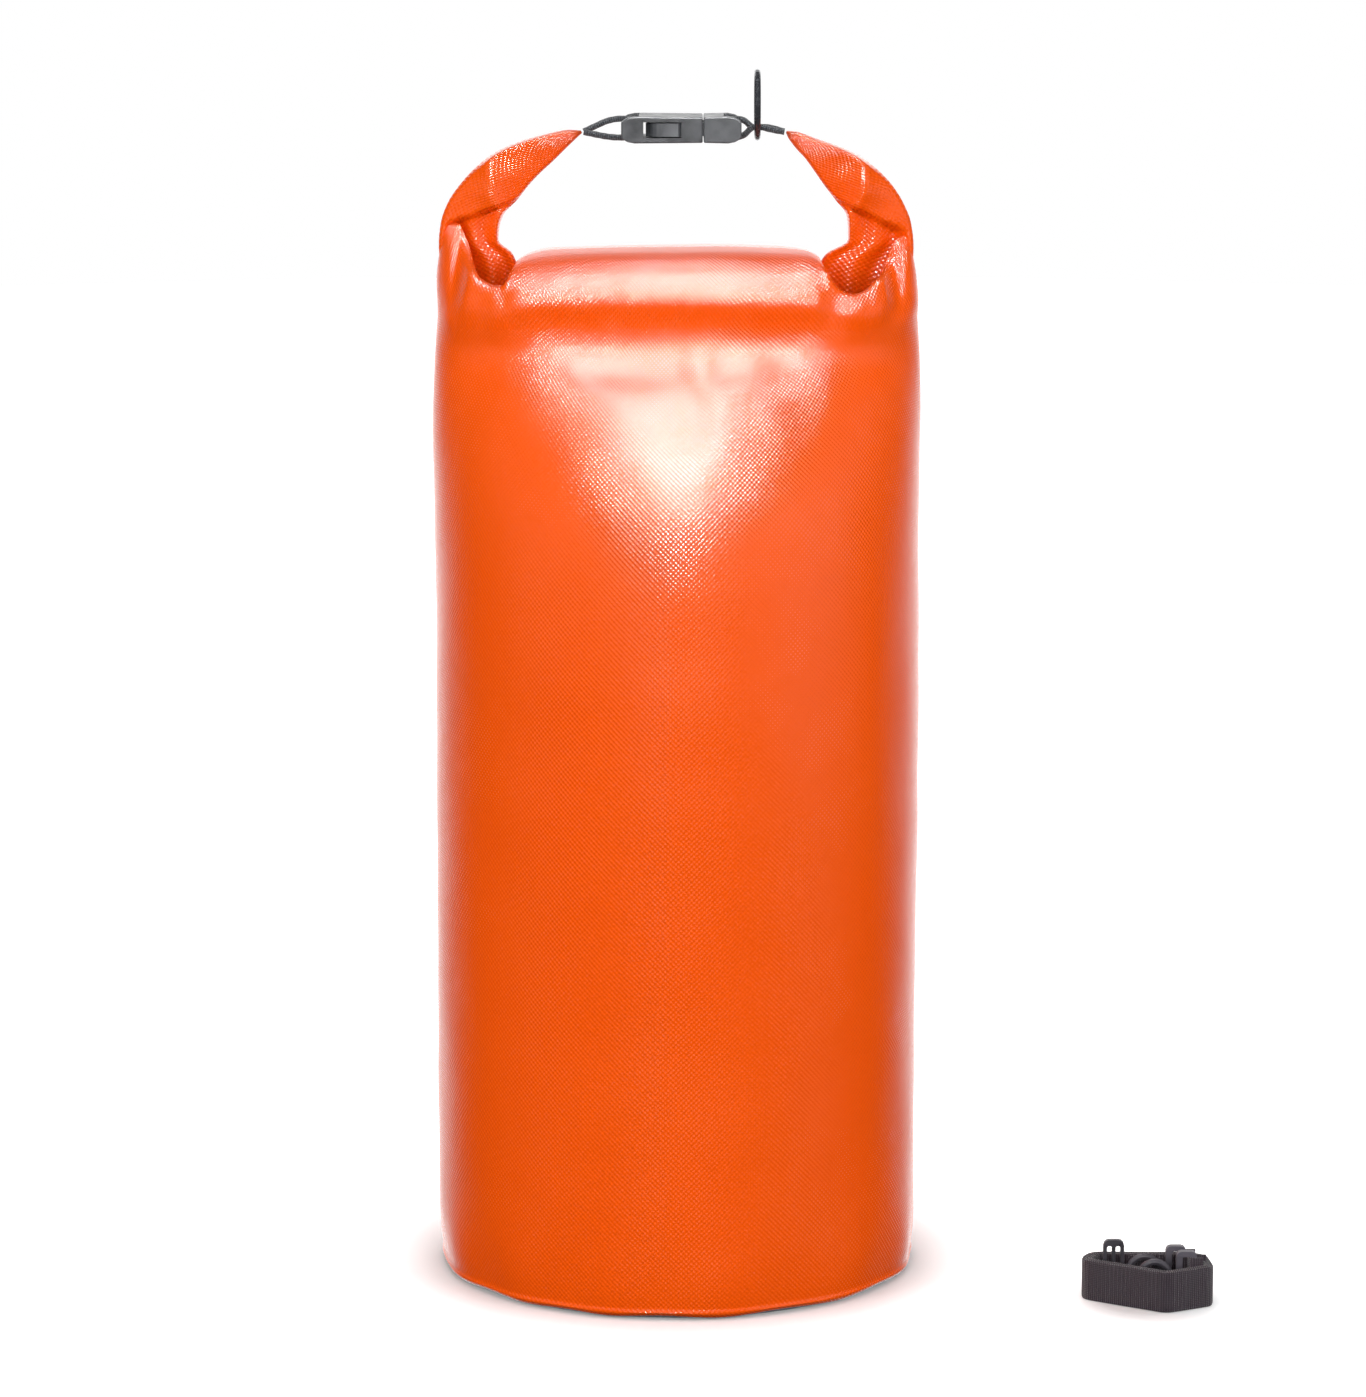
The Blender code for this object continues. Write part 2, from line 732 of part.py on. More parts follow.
def make_hook(name, end, axis):
    """A snap hook on its side: the eye for the webbing at its right, the bow at its left."""
    eye_centre = (-EYE_SIZE[0] / 2, EYE_SIZE[1] / 2)
    eye = plate(
        name,
        [rounded_rectangle(eye_centre, EYE_SIZE, 0.0025), rounded_rectangle(eye_centre, EYE_SLOT, 0.0008, 2)],
        HOOK_HALF_THICKNESS,
        HOOK_PLASTIC,
        upright=True,
    )
    eye.location = (*end, HARDWARE_Z)
    obj = mesh_from(eye)
    centre_x = end[0] - BOW_CENTRE[0]
    centre_z = HARDWARE_Z + BOW_CENTRE[1]
    bow_points = [
        (centre_x - x, end[1], centre_z + z)
        for x, z in arc((0.0, 0.0), BOW_RADIUS, BOW_START_DEG, BOW_END_DEG, 22)
    ]
    bow = mesh_from(tube(f"{name}_bow", bow_points, HOOK_STOCK, HOOK_PLASTIC))
    as_cutter(bow)
    neck = box_cutter(
        f"{name}_neck",
        (centre_x + BOW_RADIUS - 0.001, end[1] - 0.0015, centre_z - 0.0025),
        (end[0] - EYE_SIZE[0] + 0.001, end[1] + 0.0015, centre_z + 0.0025),
    )
    combine(obj, neck, "UNION")
    combine(obj, bow, "UNION")
    hang(obj, axis)
    return obj


def make_gate(name, end, axis):
    """The sprung tongue that closes the bow from the inside."""
    span = Vector(GATE_TIP) - Vector(GATE_ROOT)
    lean = math.degrees(math.atan2(span.y, span.x))
    outline = arc((0.0, 0.0), GATE_RADIUS, lean + 90, lean + 270, 6)
    outline += arc(tuple(span), GATE_RADIUS, lean - 90, lean + 90, 6)
    outline = [(-x, z) for x, z in outline]
    obj = plate(name, [outline], GATE_RADIUS, HOOK_PLASTIC, upright=True)
    obj.location = axis.matrix_world.translation
    round_edges(obj, 0.0004, segments=1)
    hang(obj, axis)
    return obj


def gate_pivot(end):
    """The gate's hinge, in the ground frame."""
    return (
        end[0] - BOW_CENTRE[0] - GATE_ROOT[0],
        end[1],
        HARDWARE_Z + BOW_CENTRE[1] + GATE_ROOT[1],
    )


# ---------------------------------------------------------------- the whole bag


def make_bag():
    make_bag_tube()
    make_bottom_disc()
    make_rolled_collar()
    make_stiffener("stiffener_front", -1)
    make_stiffener("stiffener_back", 1)


def make_closure():
    left_swing = add_axis("left_swing_axis", (CLOSURE_X - SWING_OFFSET, 0.0, SWING_Z))
    right_swing = add_axis("right_swing_axis", (CLOSURE_X + SWING_OFFSET, 0.0, SWING_Z))
    socket_bar = (bar_centre(SOCKET_END_X, 1), 0.0, BUCKLE_Z)
    plug_bar = (bar_centre(PLUG_END_X, -1), 0.0, BUCKLE_Z)
    socket_tilt = add_axis("socket_tilt_axis", socket_bar, left_swing)
    plug_tilt = add_axis("plug_tilt_axis", plug_bar, right_swing)
    ring_swing = add_axis("ring_swing_axis", (RING_X, 0.0, CORD_AT_RING_Z), right_swing)
    make_roll_end("left_roll_end", 1, left_swing)
    make_roll_end("right_roll_end", -1, right_swing)
    make_left_cord(left_swing)
    make_right_cord(right_swing)
    make_socket(socket_tilt)
    make_plug(plug_tilt)
    make_ring(ring_swing)
    for name, side in (("front", -1), ("back", 1)):
        place = (PRONG_PIVOT_X, side * PRONG_PIVOT_Y, BUCKLE_Z)
        press = add_axis(f"{name}_prong_axis", place, plug_tilt)
        make_prong(f"{name}_prong", side, press)


def make_strap():
    strap = add_axis("strap_lift_axis", (COIL_CORNERS[1][0][0], COIL_CORNERS[0][0][1], 0.0))
    make_strap_webbing(strap)
    make_slider(strap)
    for name, end in (("hook_a", HOOK_A_END), ("hook_b", HOOK_B_END)):
        make_hook(f"{name}_body", end, strap)
        gate_axis = add_axis(f"{name}_gate_axis", gate_pivot(end), strap)
        make_gate(f"{name}_gate", end, gate_axis)


make_bag()
make_closure()
make_strap()
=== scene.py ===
"""Looks of the roll-top dry bag: coated fabric skin, turned-up roll ends, buckle, ring and strap.

Metres, in the CAD's frame: +Z up, the front of the bag faces -Y and the roll lies along X.
"""

import math

import bmesh
import bpy
import numpy as np
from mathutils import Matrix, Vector, noise


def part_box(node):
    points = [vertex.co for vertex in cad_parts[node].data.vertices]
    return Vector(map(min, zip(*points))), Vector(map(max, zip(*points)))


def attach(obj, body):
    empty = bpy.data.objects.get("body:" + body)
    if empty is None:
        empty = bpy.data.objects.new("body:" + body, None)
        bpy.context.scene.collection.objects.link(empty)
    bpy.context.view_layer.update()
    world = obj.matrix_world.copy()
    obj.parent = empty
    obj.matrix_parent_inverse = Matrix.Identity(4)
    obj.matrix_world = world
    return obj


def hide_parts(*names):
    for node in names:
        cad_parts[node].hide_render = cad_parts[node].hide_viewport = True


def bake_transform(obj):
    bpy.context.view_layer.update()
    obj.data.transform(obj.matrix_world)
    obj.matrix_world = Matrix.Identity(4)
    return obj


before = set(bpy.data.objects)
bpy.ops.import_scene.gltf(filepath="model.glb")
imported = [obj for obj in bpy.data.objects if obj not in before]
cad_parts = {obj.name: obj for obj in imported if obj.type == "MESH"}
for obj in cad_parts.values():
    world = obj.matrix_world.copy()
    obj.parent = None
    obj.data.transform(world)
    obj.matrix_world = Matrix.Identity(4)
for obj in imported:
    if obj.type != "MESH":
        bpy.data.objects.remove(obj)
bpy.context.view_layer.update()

TAU = 2 * math.pi

# Tube
TUBE_LOW, TUBE_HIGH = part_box("bag_tube")
RADIUS = TUBE_HIGH.x
BASE_RADIUS = 0.1165
BASE_TURN_HEIGHT = 0.030
# The welded rim stands out by this much, at this height above the tube's lower edge.
WELD_RIM_DEPTH = 0.0011
WELD_RIM_HEIGHT = 0.0022
WELD_RIM_SPREAD = 0.0013
TUBE_BOTTOM_Z = TUBE_LOW.z
LEAN_Z = 0.250
SHOULDER_Z = 0.352
NECK_Z = 0.4775
HALF_COLUMNS = 168
CORNER_STEPS = 120

# Roll and its turned-up ends
LEFT_PIVOT = Vector((-0.1015, 0.0, 0.4955))
RIGHT_PIVOT = Vector((0.1085, 0.0, 0.4955))
BEND_START_Z = 0.474

# Threads of the scrim, the braid and the webbing
THREAD_PITCH = 0.00125
BRAID_PITCH = 0.0022
RIB_PITCH = 0.0011
WARP_PITCH = 0.0009

# Bump heights of the coated fabric: its slack, its grain and the threads that show through
SLACK_BUMP = 0.0014
GRAIN_BUMP = 0.00004
THREAD_BUMP = 0.00011

# Contact shadows held by the floor's glow: (middle, darkest within, gone beyond)
BAG_SHADOW = ((0.0, 0.0), 0.112, 0.180)
STRAP_SHADOW = ((0.232, -0.083), 0.022, 0.060)
SHADOW_GLOW = 0.05
OPEN_GLOW = 1.05

# The middle of the floor, behind the bag, so that its edge stays out of the camera's view
FLOOR_Y = 2.55


# ---------------------------------------------------------------- numbers and curves


def smooth_steps(value):
    value = np.clip(value, 0.0, 1.0)
    return value * value * (3 - 2 * value)


def bell(values, middle, spread):
    """1 at the middle, falling smoothly to nothing a few spreads away."""
    return np.exp(-(((values - middle) / spread) ** 2))


def profile(knots, places):
    """A smooth line that never overshoots its (place, value) knots."""
    at = np.array([knot[0] for knot in knots], float)
    values = np.array([knot[1] for knot in knots], float)
    step = np.diff(at)
    slope = np.diff(values) / step
    tangent = np.zeros(len(at))
    tangent[0], tangent[-1] = slope[0], slope[-1]
    for index in range(1, len(at) - 1):
        before, after = slope[index - 1], slope[index]
        if before * after > 0:
            tangent[index] = 2 * before * after / (before + after)
    places = np.clip(np.asarray(places, float), at[0], at[-1])
    span = np.clip(np.searchsorted(at, places, side="right") - 1, 0, len(step) - 1)
    t = (places - at[span]) / step[span]
    rise = t * t * (3 - 2 * t)
    return (
        values[span] * (1 - rise)
        + values[span + 1] * rise
        + step[span] * (tangent[span] * t * (1 - t) ** 2 - tangent[span + 1] * t * t * (1 - t))
    )


def resample(points, count):
    """The same line with its points spread evenly along it."""
    points = np.asarray(points, float)
    lengths = np.linalg.norm(np.diff(points, axis=0), axis=1)
    along = np.concatenate(([0.0], np.cumsum(lengths)))
    wanted = np.linspace(0.0, along[-1], count)
    return np.stack([np.interp(wanted, along, points[:, axis]) for axis in range(points.shape[1])], axis=1)


def smooth_route(points, steps):
    """A Catmull-Rom curve through the points."""
    knots = [np.asarray(point, float) for point in points]
    knots = [2 * knots[0] - knots[1], *knots, 2 * knots[-1] - knots[-2]]
    route = []
    for first, second, third, fourth in zip(knots, knots[1:], knots[2:], knots[3:]):
        for step in range(steps):
            t = step / steps
            route.append(
                0.5
                * (
                    2 * second
                    + (third - first) * t
                    + (2 * first - 5 * second + 4 * third - fourth) * t**2
                    + (3 * second - first - 3 * third + fourth) * t**3
                )
            )
    route.append(knots[-2])
    return np.array(route)


def ripple(x, y, z, scale):
    return noise.noise(Vector((x * scale, y * scale, z * scale)))


# ---------------------------------------------------------------- materials


class Nodes:
    """A short way to write a material's node tree."""

    def __init__(self, name, roughness, specular=0.5, metallic=0.0):
        self.material = bpy.data.materials.new(name)
        self.material.use_nodes = True
        self.tree = self.material.node_tree
        self.shader = self.tree.nodes["Principled BSDF"]
        self.shader.inputs["Roughness"].default_value = roughness
        self.shader.inputs["Specular IOR Level"].default_value = specular
        self.shader.inputs["Metallic"].default_value = metallic

    def add(self, kind, **inputs):
        node = self.tree.nodes.new(kind)
        for name, value in inputs.items():
            self.feed(node.inputs[name.replace("_", " ")], value)
        return node

    def feed(self, socket, value):
        if isinstance(value, bpy.types.NodeSocket):
            self.tree.links.new(value, socket)
        else:
            socket.default_value = value

    def maths(self, operation, *values):
        node = self.tree.nodes.new("ShaderNodeMath")
        node.operation = operation
        for socket, value in zip(node.inputs, values):
            self.feed(socket, value)
        return node.outputs[0]

    def place(self, use="Object"):
        return self.tree.nodes.new("ShaderNodeTexCoord").outputs[use]

    def grain(self, scale, detail=3.0, roughness=0.55, place=None):
        node = self.add("ShaderNodeTexNoise", Scale=scale, Detail=detail, Roughness=roughness)
        self.feed(node.inputs["Vector"], place or self.place())
        return node.outputs["Fac"]

    def spread(self, value, low, high, to_low=0.0, to_high=1.0):
        node = self.add("ShaderNodeMapRange")
        for index, number in enumerate((value, low, high, to_low, to_high)):
            self.feed(node.inputs[index], number)
        return node.outputs[0]

    def blend_colours(self, share, first, second):
        node = self.tree.nodes.new("ShaderNodeMix")
        node.data_type = "RGBA"
        self.feed(node.inputs[0], share)
        self.feed(node.inputs[6], first if isinstance(first, bpy.types.NodeSocket) else (*first, 1.0))
        self.feed(node.inputs[7], second if isinstance(second, bpy.types.NodeSocket) else (*second, 1.0))
        return node.outputs[2]

    def bump(self, height, distance, strength=1.0, under=None):
        node = self.add("ShaderNodeBump", Height=height, Distance=distance, Strength=strength)
        if under is not None:
            self.feed(node.inputs["Normal"], under)
        return node.outputs["Normal"]

    def worn_edges(self, low, high):
        """How far each place is a rubbed edge, from the mesh's own sharpness."""
        geometry = self.tree.nodes.new("ShaderNodeNewGeometry")
        return self.spread(geometry.outputs["Pointiness"], low, high)

    def finish(self, colour, roughness=None, normal=None):
        self.feed(self.shader.inputs["Base Color"], colour)
        if roughness is not None:
            self.feed(self.shader.inputs["Roughness"], roughness)
        if normal is not None:
            self.feed(self.shader.inputs["Normal"], normal)
        return self.material


def coated_fabric():
    """Glossy orange PVC over a woven scrim, whose threads show through as a fine grid."""
    made = Nodes("orange_coated_fabric", 0.32)
    u, v, _ = made.add("ShaderNodeSeparateXYZ", Vector=made.place("UV")).outputs
    threads = TAU / (2 * THREAD_PITCH)
    over = made.maths("SINE", made.maths("MULTIPLY", u, threads))
    under = made.maths("SINE", made.maths("MULTIPLY", v, threads))
    weave = made.maths("MULTIPLY", over, under)
    soft = made.grain(9.0, 4.0)
    fine = made.grain(420.0, 2.0)
    cloud = made.grain(2.3, 3.0)
    patches = made.spread(made.grain(14.0, 5.0), 0.35, 0.7)
    height = made.bump(soft, SLACK_BUMP, 0.20)
    height = made.bump(fine, GRAIN_BUMP, 0.5, height)
    height = made.bump(weave, THREAD_BUMP, 1.0, height)
    worn = made.worn_edges(0.52, 0.60)
    colour = made.blend_colours(patches, (0.880, 0.089, 0.0010), (0.892, 0.094, 0.0014))
    colour = made.blend_colours(made.spread(cloud, 0.4, 0.7, 0.0, 0.3), colour, (0.870, 0.084, 0.0008))
    colour = made.blend_colours(made.maths("MULTIPLY", worn, 0.2), colour, (0.95, 0.18, 0.03))
    rough = made.spread(patches, 0.0, 1.0, 0.22, 0.27)
    rough = made.maths("ADD", rough, made.maths("MULTIPLY", weave, 0.03))
    made.shader.inputs["Coat Weight"].default_value = 0.10
    made.shader.inputs["Coat Roughness"].default_value = 0.22
    return made.finish(colour, rough, height)


def base_fabric():
    """Satin grey cloth with a fine grain."""
    made = Nodes("grey_base_fabric", 0.55)
    fine = made.grain(900.0, 2.0)
    soft = made.grain(25.0, 4.0)
    colour = made.blend_colours(soft, (0.20, 0.20, 0.215), (0.29, 0.285, 0.29))
    return made.finish(colour, made.spread(soft, 0.3, 0.7, 0.42, 0.62), made.bump(fine, 0.0001, 0.6))


def moulded_plastic(name, dark, light, roughness):
    """Dull moulded plastic: a fine spark-eroded grain, and paler edges where it has rubbed."""
    made = Nodes(name, roughness, 0.45)
    fine = made.grain(2600.0, 3.0)
    soft = made.grain(160.0, 4.0)
    worn = made.worn_edges(0.53, 0.62)
    colour = made.blend_colours(made.spread(soft, 0.35, 0.65), dark, light)
    colour = made.blend_colours(made.maths("MULTIPLY", worn, 0.55), colour, tuple(3.2 * c for c in light))
    rough = made.spread(soft, 0.3, 0.7, roughness - 0.07, roughness + 0.09)
    return made.finish(colour, rough, made.bump(fine, 0.00005, 0.55))


def braided_cord():
    """Sixteen strands in a diagonal braid. u runs round the cord and v along it, in metres."""
    made = Nodes("dark_braid", 0.75, 0.3)
    u, v, _ = made.add("ShaderNodeSeparateXYZ", Vector=made.place("UV")).outputs
    turn = made.maths("MULTIPLY", u, 8 * TAU)
    run = made.maths("MULTIPLY", v, TAU / BRAID_PITCH)
    left = made.maths("SINE", made.maths("ADD", turn, run))
    right = made.maths("SINE", made.maths("SUBTRACT", turn, run))
    strands = made.maths("MULTIPLY", left, right)
    colour = made.blend_colours(
        made.spread(strands, -0.8, 0.9), (0.012, 0.014, 0.018), (0.075, 0.085, 0.10)
    )
    made.shader.inputs["Sheen Weight"].default_value = 0.25
    fuzz = made.bump(made.grain(3500.0, 2.0), 0.00005, 0.5)
    return made.finish(colour, None, made.bump(strands, 0.00022, 0.9, fuzz))


def dark_metal():
    """Polished black nickel, a little hazy and finely scratched."""
    made = Nodes("dark_nickel", 0.30, 0.6, 0.55)
    haze = made.grain(240.0, 5.0)
    scratches = made.grain(1800.0, 2.0, 0.8)
    colour = made.blend_colours(haze, (0.040, 0.045, 0.055), (0.085, 0.090, 0.100))
    return made.finish(
        colour, made.spread(haze, 0.3, 0.7, 0.18, 0.34), made.bump(scratches, 0.000004, 0.4)
    )


def webbing_fabric():
    """Ribbed nylon webbing: v runs up its width and u along its length, in metres."""
    made = Nodes("dark_webbing", 0.72, 0.35)
    u, v, _ = made.add("ShaderNodeSeparateXYZ", Vector=made.place("UV")).outputs
    ribs = made.maths("SINE", made.maths("MULTIPLY", u, TAU / RIB_PITCH))
    warp = made.maths("SINE", made.maths("MULTIPLY", v, TAU / WARP_PITCH))
    mesh = made.maths("MULTIPLY", made.maths("ADD", ribs, 0.4), made.maths("ADD", warp, 1.6))
    fuzz = made.grain(2200.0, 3.0)
    soft = made.grain(70.0, 3.0)
    colour = made.blend_colours(
        made.spread(mesh, -1.2, 2.6), (0.011, 0.006, 0.010), (0.064, 0.045, 0.058)
    )
    colour = made.blend_colours(made.maths("MULTIPLY", soft, 0.4), colour, (0.045, 0.038, 0.048))
    made.shader.inputs["Sheen Weight"].default_value = 0.4
    made.shader.inputs["Sheen Roughness"].default_value = 0.4
    under = made.bump(fuzz, 0.00008, 0.6)
    return made.finish(colour, None, made.bump(mesh, 0.00012, 0.8, under))


def floor_paper():
    """White paper that glows, with painted contact shadows: its glow fades under the bag and the strap,
    where they stand at rest.
    """
    made = Nodes("white_paper", 0.9, 0.1)
    made.shader.inputs["Emission Color"].default_value = (1.0, 1.0, 1.0, 1.0)
    glow = None
    # Painted contact shadows: the glow dims round the places where the bag and the strap stand at rest.
    for middle, near, far in (BAG_SHADOW, STRAP_SHADOW):
        away = made.add("ShaderNodeVectorMath", Vector=made.place("Object"))
        away.operation = "DISTANCE"
        away.inputs[1].default_value = (middle[0], middle[1] - FLOOR_Y, 0.0)
        share = made.spread(away.outputs["Value"], near, far, SHADOW_GLOW, OPEN_GLOW)
        glow = share if glow is None else made.maths("MINIMUM", glow, share)
    made.feed(made.shader.inputs["Emission Strength"], glow)
    grain = made.grain(6.0, 2.0)
    return made.finish(made.blend_colours(grain, (0.80, 0.80, 0.80), (0.82, 0.82, 0.82)))


FABRIC = coated_fabric()
BASE = base_fabric()
BUCKLE_PLASTIC = moulded_plastic("buckle_plastic", (0.030, 0.032, 0.036), (0.052, 0.055, 0.060), 0.42)
HOOK_PLASTIC = moulded_plastic("hook_plastic", (0.022, 0.020, 0.025), (0.042, 0.038, 0.046), 0.48)
STRIP_PLASTIC = moulded_plastic("strip_plastic", (0.040, 0.040, 0.044), (0.060, 0.060, 0.066), 0.60)
BRAID = braided_cord()
METAL = dark_metal()
WEBBING = webbing_fabric()
PAPER = floor_paper()


# ---------------------------------------------------------------- mesh helpers


def link(name, mesh, material):
    obj = bpy.data.objects.new(name, mesh)
    bpy.context.scene.collection.objects.link(obj)
    mesh.materials.append(material)
    mesh.shade_smooth()
    return obj


def write_mesh(name, points, faces, corner_uvs, material, normals=None):
    """A mesh with one UV pair for each corner of each face, and its normals if they are given."""
    mesh = bpy.data.meshes.new(name)
    mesh.from_pydata([tuple(point) for point in points], [], faces)
    layer = mesh.uv_layers.new(name="cloth")
    flat = [pair for face_uvs in corner_uvs for pair in face_uvs]
    layer.data.foreach_set("uv", np.asarray(flat, np.float32).ravel())
    obj = link(name, mesh, material)
    if normals is not None:
        mesh.normals_split_custom_set_from_vertices([tuple(normal) for normal in normals])
    return obj


def grid_faces(rows, columns, closed=False, offset=0, flipped=False):
    """Quads between rows of points, numbered row by row."""
    faces = []
    for row in range(rows - 1):
        for column in range(columns if closed else columns - 1):
            after = (column + 1) % columns
            low, high = offset + row * columns, offset + (row + 1) * columns
            face = (low + column, low + after, high + after, high + column)
            faces.append(face[::-1] if flipped else face)
    return faces


def weld(points, faces, distance=1e-5):
    """Joins points that coincide: returns the kept points and each face in their numbers."""
    keys = np.round(np.asarray(points) / distance).astype(np.int64)
    _, first, number = np.unique(keys, axis=0, return_index=True, return_inverse=True)
    number = number.reshape(-1)
    return np.asarray(points)[first], [tuple(int(number[index]) for index in face) for face in faces]


def smooth_normals(points, faces):
    """Area-weighted normals, one for each point."""
    normals = np.zeros((len(points), 3))
    quads = np.array(faces)
    corners = np.asarray(points)[quads]
    square = np.cross(corners[:, 2] - corners[:, 0], corners[:, 3] - corners[:, 1])
    for corner in range(4):
        np.add.at(normals, quads[:, corner], square)
    return normals / np.maximum(np.linalg.norm(normals, axis=1), 1e-12)[:, None]


def part_of(name, points, faces, corner_uvs, normals, wanted, material):
    """The wanted faces of a bigger mesh as an object that shades as if it were still joined."""
    chosen = [index for index, keep in enumerate(wanted) if keep]
    used = sorted({number for index in chosen for number in faces[index]})
    renumber = {old: new for new, old in enumerate(used)}
    kept = [tuple(renumber[number] for number in faces[index]) for index in chosen]
    uvs = [corner_uvs[index] for index in chosen]
    return write_mesh(name, points[used], kept, uvs, material, normals[used])


# ---------------------------------------------------------------- camera and studio


CAMERA_PLACE = (0.003, -2.6, 0.73)
CAMERA_DIP = 9.68
LENS_MM = 90.9
SENSOR_MM = 24.0


def aim_camera():
    """A long lens a little above the bag, looking slightly down at it."""
    data = bpy.data.cameras.new("camera")
    data.sensor_fit = "VERTICAL"
    data.sensor_height = SENSOR_MM
    data.lens = LENS_MM
    data.clip_end = 60.0
    camera = bpy.data.objects.new("camera", data)
    camera.location = CAMERA_PLACE
    camera.rotation_euler = (math.radians(90 - CAMERA_DIP), 0.0, 0.0)
    bpy.context.scene.collection.objects.link(camera)
    bpy.context.scene.camera = camera


def add_softbox(name, place, target, size, power, gloss_only=False, diffuse_only=False):
    """A flat light that may be left out of the reflections or out of the matt shading."""
    data = bpy.data.lights.new(name, "AREA")
    data.shape = "RECTANGLE"
    data.size, data.size_y = size
    data.energy = power
    light = bpy.data.objects.new(name, data)
    light.location = place
    light.rotation_euler = (Vector(target) - Vector(place)).to_track_quat("-Z", "Y").to_euler()
    light.visible_glossy = not diffuse_only
    light.visible_diffuse = not gloss_only
    bpy.context.scene.collection.objects.link(light)
    return light


def add_studio():
    """A white sweep, two softboxes that only reflections show, and five fills that they don't show."""
    world = bpy.data.worlds.new("studio")
    bpy.context.scene.world = world
    world.use_nodes = True
    tree = world.node_tree
    background = tree.nodes["Background"]
    direction = tree.nodes.new("ShaderNodeTexCoord").outputs["Generated"]
    split = tree.nodes.new("ShaderNodeSeparateXYZ")
    tree.links.new(direction, split.inputs[0])
    behind = tree.nodes.new("ShaderNodeMapRange")
    behind.interpolation_type = "SMOOTHSTEP"
    glow_from, glow_full, front_glow, back_glow = 0.66, 0.99, 0.025, 2.0
    for index, number in enumerate((glow_from, glow_full, front_glow, back_glow), start=1):
        behind.inputs[index].default_value = number
    tree.links.new(split.outputs["Y"], behind.inputs[0])
    seen = tree.nodes.new("ShaderNodeLightPath").outputs["Is Camera Ray"]
    strength = tree.nodes.new("ShaderNodeMix")
    tree.links.new(seen, strength.inputs[0])
    tree.links.new(behind.outputs[0], strength.inputs[2])
    strength.inputs[3].default_value = 1.0
    tree.links.new(strength.outputs[0], background.inputs["Strength"])
    background.inputs["Color"].default_value = (1.0, 1.0, 1.0, 1.0)
    bpy.context.scene.view_settings.view_transform = "Standard"

    gloss, diffuse = {"gloss_only": True}, {"diffuse_only": True}
    add_softbox("overhead", (0.0, -0.20, 1.9), (0.0, 0.0, 0.45), (0.22, 0.55), 42.0, **gloss)
    add_softbox("front_strip", (0.01, -0.62, 0.98), (0.0, 0.0, 0.30), (0.13, 0.36), 15.0, **gloss)
    add_softbox("top_fill", (0.0, -0.6, 2.2), (0.0, 0.0, 0.45), (1.6, 1.2), 11.0, **diffuse)
    add_softbox("front_fill", (0.0, -3.2, 1.0), (0.0, 0.0, 0.25), (2.6, 2.2), 71.0, **diffuse)
    add_softbox("left_fill", (-2.4, -1.2, 0.8), (0.0, 0.0, 0.3), (1.8, 1.8), 44.0, **diffuse)
    add_softbox("right_fill", (2.4, -1.2, 0.8), (0.0, 0.0, 0.3), (1.8, 1.8), 44.0, **diffuse)
    add_softbox("back_fill", (0.0, 2.6, 1.5), (0.0, 0.0, 0.3), (2.4, 1.8), 36.0, **diffuse)

    shape = bmesh.new()
    bmesh.ops.create_circle(shape, cap_ends=True, segments=96, radius=3.0)
    mesh = bpy.data.meshes.new("floor")
    shape.to_mesh(mesh)
    shape.free()
    floor = link("floor", mesh, PAPER)
    floor.location = (0.0, FLOOR_Y, 0.0)
    floor.visible_glossy = False
    floor.visible_diffuse = False


aim_camera()
add_studio()


# ---------------------------------------------------------------- tube


def half_section(half_width, depth, flat_half, count=HALF_COLUMNS):
    """One side of the tube from above, from -X to +X: a flat middle between two rounded corners."""
    turn = np.linspace(0.0, math.pi / 2, CORNER_STEPS)
    corner_x = flat_half + (half_width - flat_half) * np.cos(turn)
    corner = np.stack([corner_x, depth * np.sin(turn)], axis=1)
    line = np.vstack([corner * (-1, 1), corner[::-1]])
    return resample(line, count)


def base_radius(z):
    """The tube's radius just above the base, where its lower edge turns in."""
    rise = np.clip((z - TUBE_BOTTOM_Z) / BASE_TURN_HEIGHT, 0.0, 1.0)
    weld_rim = WELD_RIM_DEPTH * bell(z - TUBE_BOTTOM_Z, WELD_RIM_HEIGHT, WELD_RIM_SPREAD)
    return BASE_RADIUS + (RADIUS - BASE_RADIUS) * np.sqrt(rise * (2 - rise)) + weld_rim


FRONT_DEPTH = (
    (LEAN_Z, RADIUS),
    (0.300, 0.1195),
    (0.330, 0.1182),
    (SHOULDER_Z, 0.1164),
    (0.372, 0.1130),
    (0.390, 0.1074),
    (0.408, 0.0988),
    (0.428, 0.0850),
    (0.446, 0.0690),
    (0.459, 0.0540),
    (0.468, 0.0472),
    (NECK_Z, 0.0455),
)
BACK_DEPTH = (
    (LEAN_Z, RADIUS),
    (SHOULDER_Z, RADIUS),
    (0.380, 0.1165),
    (0.405, 0.1060),
    (0.430, 0.0890),
    (0.455, 0.0650),
    (NECK_Z, 0.0430),
)
HALF_WIDTHS = ((LEAN_Z, RADIUS), (SHOULDER_Z, RADIUS), (0.42, 0.1202), (0.455, 0.1195), (NECK_Z, 0.1180))
# Half the width of the shoulder's flat triangle, which stands on its tip.
FLAT_HALVES = (
    (LEAN_Z, 0.0),
    (SHOULDER_Z, 0.0004),
    (0.375, 0.0010),
    (0.395, 0.0045),
    (0.420, 0.0120),
    (0.450, 0.0310),
    (NECK_Z, 0.0800),
)


def tube_ring(z):
    """The front and back halves of the tube's section at one height, each from -X to +X."""
    if z <= LEAN_Z:
        radius = float(base_radius(z))
        front = half_section(radius, radius, 0.0)
        back = front
    else:
        half_width = float(profile(HALF_WIDTHS, z))
        flat = float(profile(FLAT_HALVES, z))
        front = half_section(half_width, float(profile(FRONT_DEPTH, z)), flat)
        back = half_section(half_width, float(profile(BACK_DEPTH, z)), flat)
    return front * (1, -1), back


